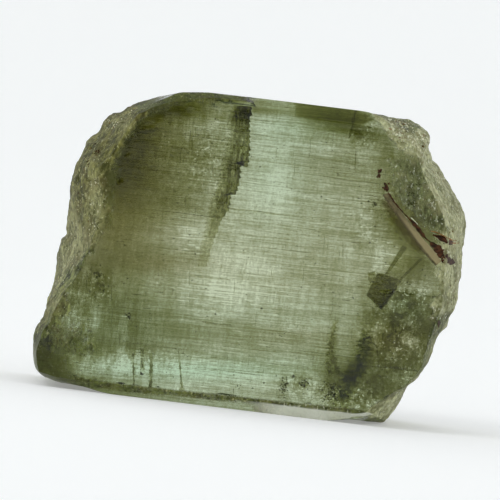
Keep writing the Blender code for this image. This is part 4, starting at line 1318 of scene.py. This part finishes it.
# grains in the crust and along the rims: bright ones, pale grains whose whiteness also paints the glitter of light
# there, and brown ones
rng = np.random.default_rng(31)
bright_grains, brown_grains = [], []
for corners, many, brown_share, least, most in (
    ([(376, 112), (398, 116), (416, 123), (428, 134), (431, 148), (422, 151), (404, 143), (388, 128)], 110, 0.20, 1.2, 3.0),
    ([(432, 168), (441, 172), (460, 215), (464, 245), (452, 250), (442, 210)], 60, 0.30, 0.8, 1.9),
    ([(448, 268), (460, 262), (458, 308), (449, 316), (444, 300)], 34, 0.45, 0.8, 1.9),
    ([(104, 118), (136, 104), (132, 114), (108, 134)], 44, 0.25, 0.8, 1.8),
    ([(86, 170), (101, 176), (102, 226), (88, 238)], 56, 0.20, 0.8, 1.9),
    ([(78, 160), (100, 134), (98, 158), (80, 220), (70, 222)], 34, 0.6, 0.8, 1.7),
    ([(70, 232), (88, 246), (72, 268), (56, 300), (52, 290)], 40, 0.35, 0.8, 1.7),
):
    spread = np.array(corners, float)
    made = 0
    while made < many:
        gx, gy = rng.uniform(spread.min(axis=0), spread.max(axis=0))
        if inside_of(np.array([gx]), np.array([gy]), corners)[0] < 0.5 or not on_body(gx, gy):
            continue
        made += 1
        size = PIXEL * (least + (most - least) * rng.random() ** 2)
        grain = crumb(on_skin(gx, gy), (size, 0.03, size * rng.uniform(0.8, 1.5)), rng)
        (brown_grains if rng.random() < brown_share else bright_grains).append(grain)
seal(joined("bright_grains", bright_grains), mineral("bright_grains", (0.60, 0.59, 0.34), (0.95, 0.95, 0.74), (0.3, 0.3, 0.3)))
seal(joined("brown_grains", brown_grains), mineral("brown_grains", (0.11, 0.075, 0.020), (0.26, 0.17, 0.055), (0.3, 0.3, 0.3)))
specks = []
for cx, cy, rx, ry, many in ((413, 192, 3.6, 2.0, 12), (412, 202, 3.8, 2.8, 24), (416, 183.5, 5.0, 1.2, 6), (333, 391, 6.0, 8.0, 34),
                             (98, 274, 4, 3, 8), (284.5, 386, 2.6, 8.0, 18), (304, 382, 4.5, 3.0, 10), (410, 186, 2, 1, 4)):
    for _ in range(many):
        gx, gy = np.clip(rng.normal(0, 0.6, 2), -1.3, 1.3)
        size = PIXEL * rng.uniform(0.7, 1.8)
        specks.append(crumb(on_skin(cx + gx * rx, cy + gy * ry), (size * 1.4, 0.02, size * 0.8), rng))
seal(joined("dark_specks", specks), mineral("dark_specks", (0.018, 0.022, 0.003), (0.050, 0.058, 0.010), (0.2, 0.2, 0.2)))
rust = [skin_line([(451, 242.0), (455, 242.6), (458.5, 243.2)], (2.4, 2.2, 1.2), 0.045)]
rust.append(skin_line([(453, 260.8), (455.5, 259.5), (456.5, 257)], (1.8, 1.4, 0.8)))
rust.append(skin_line([(431, 229.8), (436, 230.8), (444, 234.6), (451, 238.6), (456, 240.6)], (0.7, 1.0, 1.0, 1.2, 0.8), 0.045))
rust.append(skin_line([(389.5, 126.5), (392, 127.8)], (2.2, 1.4)))
rust.append(skin_line([(405.5, 130), (408.5, 133)], (1.6, 1.4)))
seal(joined("rust_line", rust), mineral("rust_line", (0.17, 0.075, 0.020), (0.42, 0.22, 0.065)))
# painted highlights: thin white slits of light along the iron stain
highlight_slits = [skin_line([(411, 216.2), (414, 218.8), (418.0, 223.0)], (0.5, 1.1, 0.5))]
highlight_slits.append(skin_line([(445, 247), (449.5, 252), (451.5, 258)], (0.8, 1.6, 0.8)))
seal(joined("painted_highlight_slits", highlight_slits), mineral("painted_highlight_slits", (0.46, 0.48, 0.30), (0.72, 0.74, 0.55)))


# cracks that show as dark green or nearly black lines
cracks = crack([(132.0, 126.4), (136, 129.8), (143.6, 130.9), (150, 130.4), (155, 128.6), (157.6, 126.2)], (1.4, 2.2, 2.6, 3.0, 4.4, 2.4), -1.9)
cracks += crack([(221.6, 139.8), (225, 137.6), (228.3, 136)], (0.8, 1.4, 0.8), -1.8)
cracks += crack([(133.8, 381), (134, 385), (134, 389)], (1.0, 3.4, 2.4), -1.9)
cracks += crack([(142.2, 359), (142.4, 366)], (2.0, 1.2), -1.9)
cracks += crack([(151.2, 376), (150.8, 385), (150.8, 390)], (1.4, 3.4, 2.8), -1.9)
cracks += crack([(180, 368), (181.6, 381)], (0.5, 1.0), -1.9)
cracks += crack([(181.6, 380), (182.4, 386), (181.4, 391)], (1.2, 3.4, 7.0), -1.9)
cracks += crack([(291, 171), (320, 174.4), (350, 179.2), (380, 182.4)], (1.0, 0.8, 1.3, 0.8), -1.85)
cracks += crack([(228, 207), (262, 210.6), (300, 216), (340, 221)], (1.2, 0.9, 0.8, 0.6), -1.8)
cracks += crack([(250, 211), (284, 214), (319, 217)], 0.6, -1.6)
cracks += crack([(355, 364.8), (380, 366), (419, 371)], (0.8, 2.4, 1.2), -1.3)
cracks += crack([(370, 335), (372, 341), (376.4, 345.5), (378, 357)], (1.2, 2.0, 1.4, 0.8), -1.6)
cracks += crack([(355.5, 116), (353, 124), (349, 137)], (1.2, 2.6, 1.6), -1.3)
cracks += crack([(356, 150), (355, 168)], (1.6, 1.0), -1.3)
cracks += crack([(203, 320.5), (215, 322.6), (232, 324)], (1.4, 2.2, 0.8), -1.7)
for k, (line, wide) in enumerate((
    ([(133.2, 350), (133.6, 368), (134, 388)], 2.4),
    ([(142.0, 346), (142.4, 358), (142.6, 371)], 5.0),
    ([(151.4, 350), (151.2, 370), (150.8, 389)], 4.4),
    ([(178.6, 346), (180.4, 368), (182, 390)], 2.2),
)):
    shade = sealed_sheet("cross_crack_%d" % (k + 1), [(x - wide / 2, y) for x, y in line], [(x + wide / 2, y) for x, y in line],
                         0, 0, rows=30, columns=8, wave=0.0, seed=20 + k, fray_left=0.6, fray_right=0.6, below=0.10)
    seal(shade, veil_material("cross_crack_%d" % (k + 1), 0.85, 0.0, (0.05, 0.06, 0.02), smear_shade))
seal(joined("cracks", cracks), veil_material("cracks", 0.50, 0.0, (0.05, 0.06, 0.02)))
# growth tubes, dashes and grains by the hundred, all through the front of the crystal
FACE = [(108, 122), (160, 100), (250, 104), (372, 116), (392, 150), (440, 190), (446, 250), (430, 320), (408, 372),
        (372, 408), (250, 398), (140, 384), (52, 366), (52, 345), (84, 282), (100, 228), (104, 170)]
rng = np.random.default_rng(23)


def thick_there(px, py):
    """How thickly strewn the grains are at a pixel, 0 to 1."""
    here = np.array([[px * PIXEL, 0.0, py * PIXEL]])
    clump = 0.5 + 0.5 * float(noise(here, (0.45, 1.0, 0.30), 71)[0])
    more = math.exp(-(((px - 204) / 22) ** 2 + ((py - 155) / 34) ** 2)) + math.exp(-(((px - 385) / 45) ** 2 + ((py - 340) / 60) ** 2))
    more += 1.2 * math.exp(-(((px - 332) / 13) ** 2 + ((py - 391) / 12) ** 2)) + 0.8 * math.exp(-(((px - 100) / 16) ** 2 + ((py - 288) / 20) ** 2))
    more += 0.9 * math.exp(-(((px - 284) / 6) ** 2 + ((py - 386) / 14) ** 2)) + 0.6 * math.exp(-(((px - 378) / 12) ** 2 + ((py - 225) / 22) ** 2))
    return clump**2 * 0.8 + more


def strewn(count, weight):
    """Pixels and depths inside the face, as thickly as weight says."""
    found = []
    while len(found) < count:
        px, py = rng.uniform(48, 450), rng.uniform(98, 410)
        if inside_of(np.array([px]), np.array([py]), FACE)[0] > 2 and rng.random() < weight(px, py):
            found.append((px, py, -1.98 + 0.9 * rng.random() ** 2.2))
    return found


def stays_in(px, py, dx, dy):
    """Whether both ends of a needle lie in the face."""
    ends = inside_of(np.array([px - dx, px + dx]), np.array([py - dy, py + dy]), FACE)
    return ends.min() > -1.0


dark_bits, green_bits = [], []
for px, py, y in strewn(620, thick_there):
    size = 0.010 + 0.026 * rng.random() ** 2
    dark_bits.append(crumb(inside(px, py, y), (size * 1.6, size, size), rng))
for px, py, y in strewn(420, lambda px, py: 0.35 + thick_there(px, py)):
    half = rng.uniform(1.2, 6.0)
    if not stays_in(px, py, half, half * 0.10):
        continue
    green_bits += [sliver(inside(px - half, py - half * 0.10, y), inside(px + half, py + half * 0.10, y), rng.uniform(0.007, 0.013))]
for px, py, y in strewn(60, lambda px, py: 0.5):
    half = rng.uniform(12, 40)
    if (abs(py - 290) < 22 and px + half > 360 and px - half < 404) or not stays_in(px, py, half, half * 0.125):
        continue
    green_bits += [sliver(inside(px - half, py - half * 0.125, y), inside(px + half, py + half * 0.125, y), rng.uniform(0.008, 0.014))]
for px, py, y in strewn(90, lambda px, py: 0.25 + thick_there(px, py)):
    half = rng.uniform(3, 11)
    if not stays_in(px, py, -half * 0.06, half):
        continue
    green_bits += [sliver(inside(px + half * 0.06, py - half, y), inside(px - half * 0.06, py + half, y), rng.uniform(0.007, 0.015))]
for cx, cy, rx, ry, many in ((413, 193, 3.4, 1.8, 22), (413, 202, 3.6, 2.6, 46), (416, 183.5, 5.0, 1.4, 12), (333, 391, 6.5, 8.0, 90),
                             (408, 264, 6, 3, 0), (97, 274, 5, 4, 26), (103, 286, 5, 4, 20), (128, 315, 3.0, 3.0, 26),
                             (142, 372, 2.0, 1.6, 10), (284.5, 386, 3.2, 8.5, 44), (304, 382, 4.5, 3.2, 26), (293.5, 375.5, 2.2, 1.2, 10),
                             (120, 178, 2.4, 4.6, 14), (238, 387, 3.0, 2.4, 8), (374, 203, 3.5, 3.5, 16), (368, 336, 4, 3, 10)):
    for _ in range(many):
        gx, gy = rng.normal(0, 0.55, 2)
        size = 0.014 + 0.030 * rng.random() ** 1.5
        dark_bits.append(crumb(inside(cx + gx * rx, cy + gy * ry, -1.75 + 0.12 * rng.random()), (size * 1.3, 0.02, size), rng))
seal(joined("dark_grains", dark_bits), veil_material("dark_grains", 1.9, 0.0))
seal(joined("growth_tubes", green_bits), veil_material("growth_tubes", 0.7, 0.0, (0.05, 0.06, 0.02)))

# ---- stage, light and camera -------------------------------------------------------------------------------------
def bowl():
    """A plain pale floor that curves up into a wall all round."""
    profile = [(r, 0.0) for r in np.linspace(0.0, 90.0, 10)]
    profile += [
        (90 + 200 * math.sin(a), 200 - 200 * math.cos(a)) for a in np.linspace(0, math.pi / 2, 33)[1:]
    ]
    profile += [(290.0, 240.0), (290.0, 300.0)]
    turns = 128
    points, faces = [(0, 0, 0)], []
    for r, z in profile[1:]:
        for k in range(turns):
            a = 2 * math.pi * k / turns
            points.append((r * math.cos(a), r * math.sin(a), z))
    for k in range(turns):
        faces.append((0, 1 + k, 1 + (k + 1) % turns))
    for ring in range(len(profile) - 2):
        for k in range(turns):
            a, b = 1 + ring * turns + k, 1 + ring * turns + (k + 1) % turns
            faces.append((a, a + turns, b + turns, b))
    return mesh_object("floor", points, faces)


def stage_material():
    n = Nodes("pale_floor")
    tone = n.ramp(n.noise((60.0, 60.0, 60.0), 1.0), 0.3, 0.7, 0.0, 1.0)
    colour = n.mix(tone, (0.80, 0.815, 0.815), (0.815, 0.83, 0.83))
    shader = n.principled(Base_Color=colour, Roughness=0.9)
    shader.inputs["Specular IOR Level"].default_value = 0.0
    shader.inputs["Emission Color"].default_value = (1.0, 1.0, 1.0, 1.0)
    shader.inputs["Emission Strength"].default_value = 0.235
    return n.finish(shader.outputs[0])


floor = bowl()
floor.data.materials.append(stage_material())


def dark_card():
    """A dark card that lies in front of the camera's foot and rises behind it, so that the broad face mirrors no
    bright floor or wall."""
    profile = [(-60.0, 0.4)] + [(-120 - 40 * math.sin(a), 40.4 - 40 * math.cos(a)) for a in np.linspace(0, math.pi / 2, 12)]
    profile += [(-160.0, 80.0)]
    points, faces = [], []
    for y, z in profile:
        points += [(-52.0, y, z), (52.0, y, z)]
    for i in range(len(profile) - 1):
        faces.append((2 * i, 2 * i + 1, 2 * i + 3, 2 * i + 2))
    return mesh_object("dark_card", points, faces)


def card_material():
    n = Nodes("dark_card")
    felt = n.ramp(n.noise((1.5, 1.5, 1.5), 2.0), 0.3, 0.7)
    shader = n.principled(Base_Color=n.mix(felt, (0.018, 0.018, 0.018), (0.026, 0.026, 0.026)), Roughness=0.95)
    return n.finish(shader.outputs[0])


card = dark_card()
card.data.materials.append(card_material())


def area_light(name, place, size, radiance, target=(0, 0, 3.4), colour=(1, 1, 1)):
    """A soft square light. Places and sizes are in millimetres."""
    data = bpy.data.lights.new(name, "AREA")
    data.shape = "SQUARE"
    data.size = size / 1000.0
    data.energy = radiance * math.pi * data.size**2
    data.color = colour
    light = bpy.data.objects.new(name, data)
    bpy.context.scene.collection.objects.link(light)
    light.location = Vector(place) / 1000.0
    light.rotation_euler = (Vector(target) - Vector(place)).to_track_quat("-Z", "Y").to_euler()
    return light


area_light("key_softbox", (-130, -110, 190), 110, 2.6)
area_light("top_softbox", (20, 60, 240), 170, 0.9)

world = bpy.data.worlds.new("studio")
bpy.context.scene.world = world
world.use_nodes = True
world.node_tree.nodes["Background"].inputs["Color"].default_value = (0.97, 0.985, 1.0, 1.0)
world.node_tree.nodes["Background"].inputs["Strength"].default_value = 0.50

ELEVATION = math.radians(1.5)
camera_data = bpy.data.cameras.new("camera")
camera_data.sensor_width = 36.0
camera_data.lens = 18.0 / (500 * PIXEL / 2 / CAMERA_AWAY)
camera = bpy.data.objects.new("camera", camera_data)
bpy.context.scene.collection.objects.link(camera)
aim = at(250, 250)
back = Vector((0, -math.cos(ELEVATION), math.sin(ELEVATION)))
upright = Vector((0, math.sin(ELEVATION), math.cos(ELEVATION)))
right = Vector((1, 0, 0)) * math.cos(SLOPE) + upright * math.sin(SLOPE)
up = Vector((-1, 0, 0)) * math.sin(SLOPE) + upright * math.cos(SLOPE)
place = Vector((float(aim[0]), EYE_PLANE, float(aim[1]))) + back * CAMERA_AWAY
turn = Matrix((right, up, back)).transposed().to_4x4()
camera.matrix_world = Matrix.Translation(place / 1000.0) @ turn
camera_data.clip_start, camera_data.clip_end = 0.005, 2.0
bpy.context.scene.camera = camera

scene = bpy.context.scene
scene.view_settings.view_transform = "Standard"
scene.cycles.max_bounces = 16
scene.cycles.glossy_bounces = 10
scene.cycles.transmission_bounces = 16
scene.cycles.transparent_max_bounces = 48
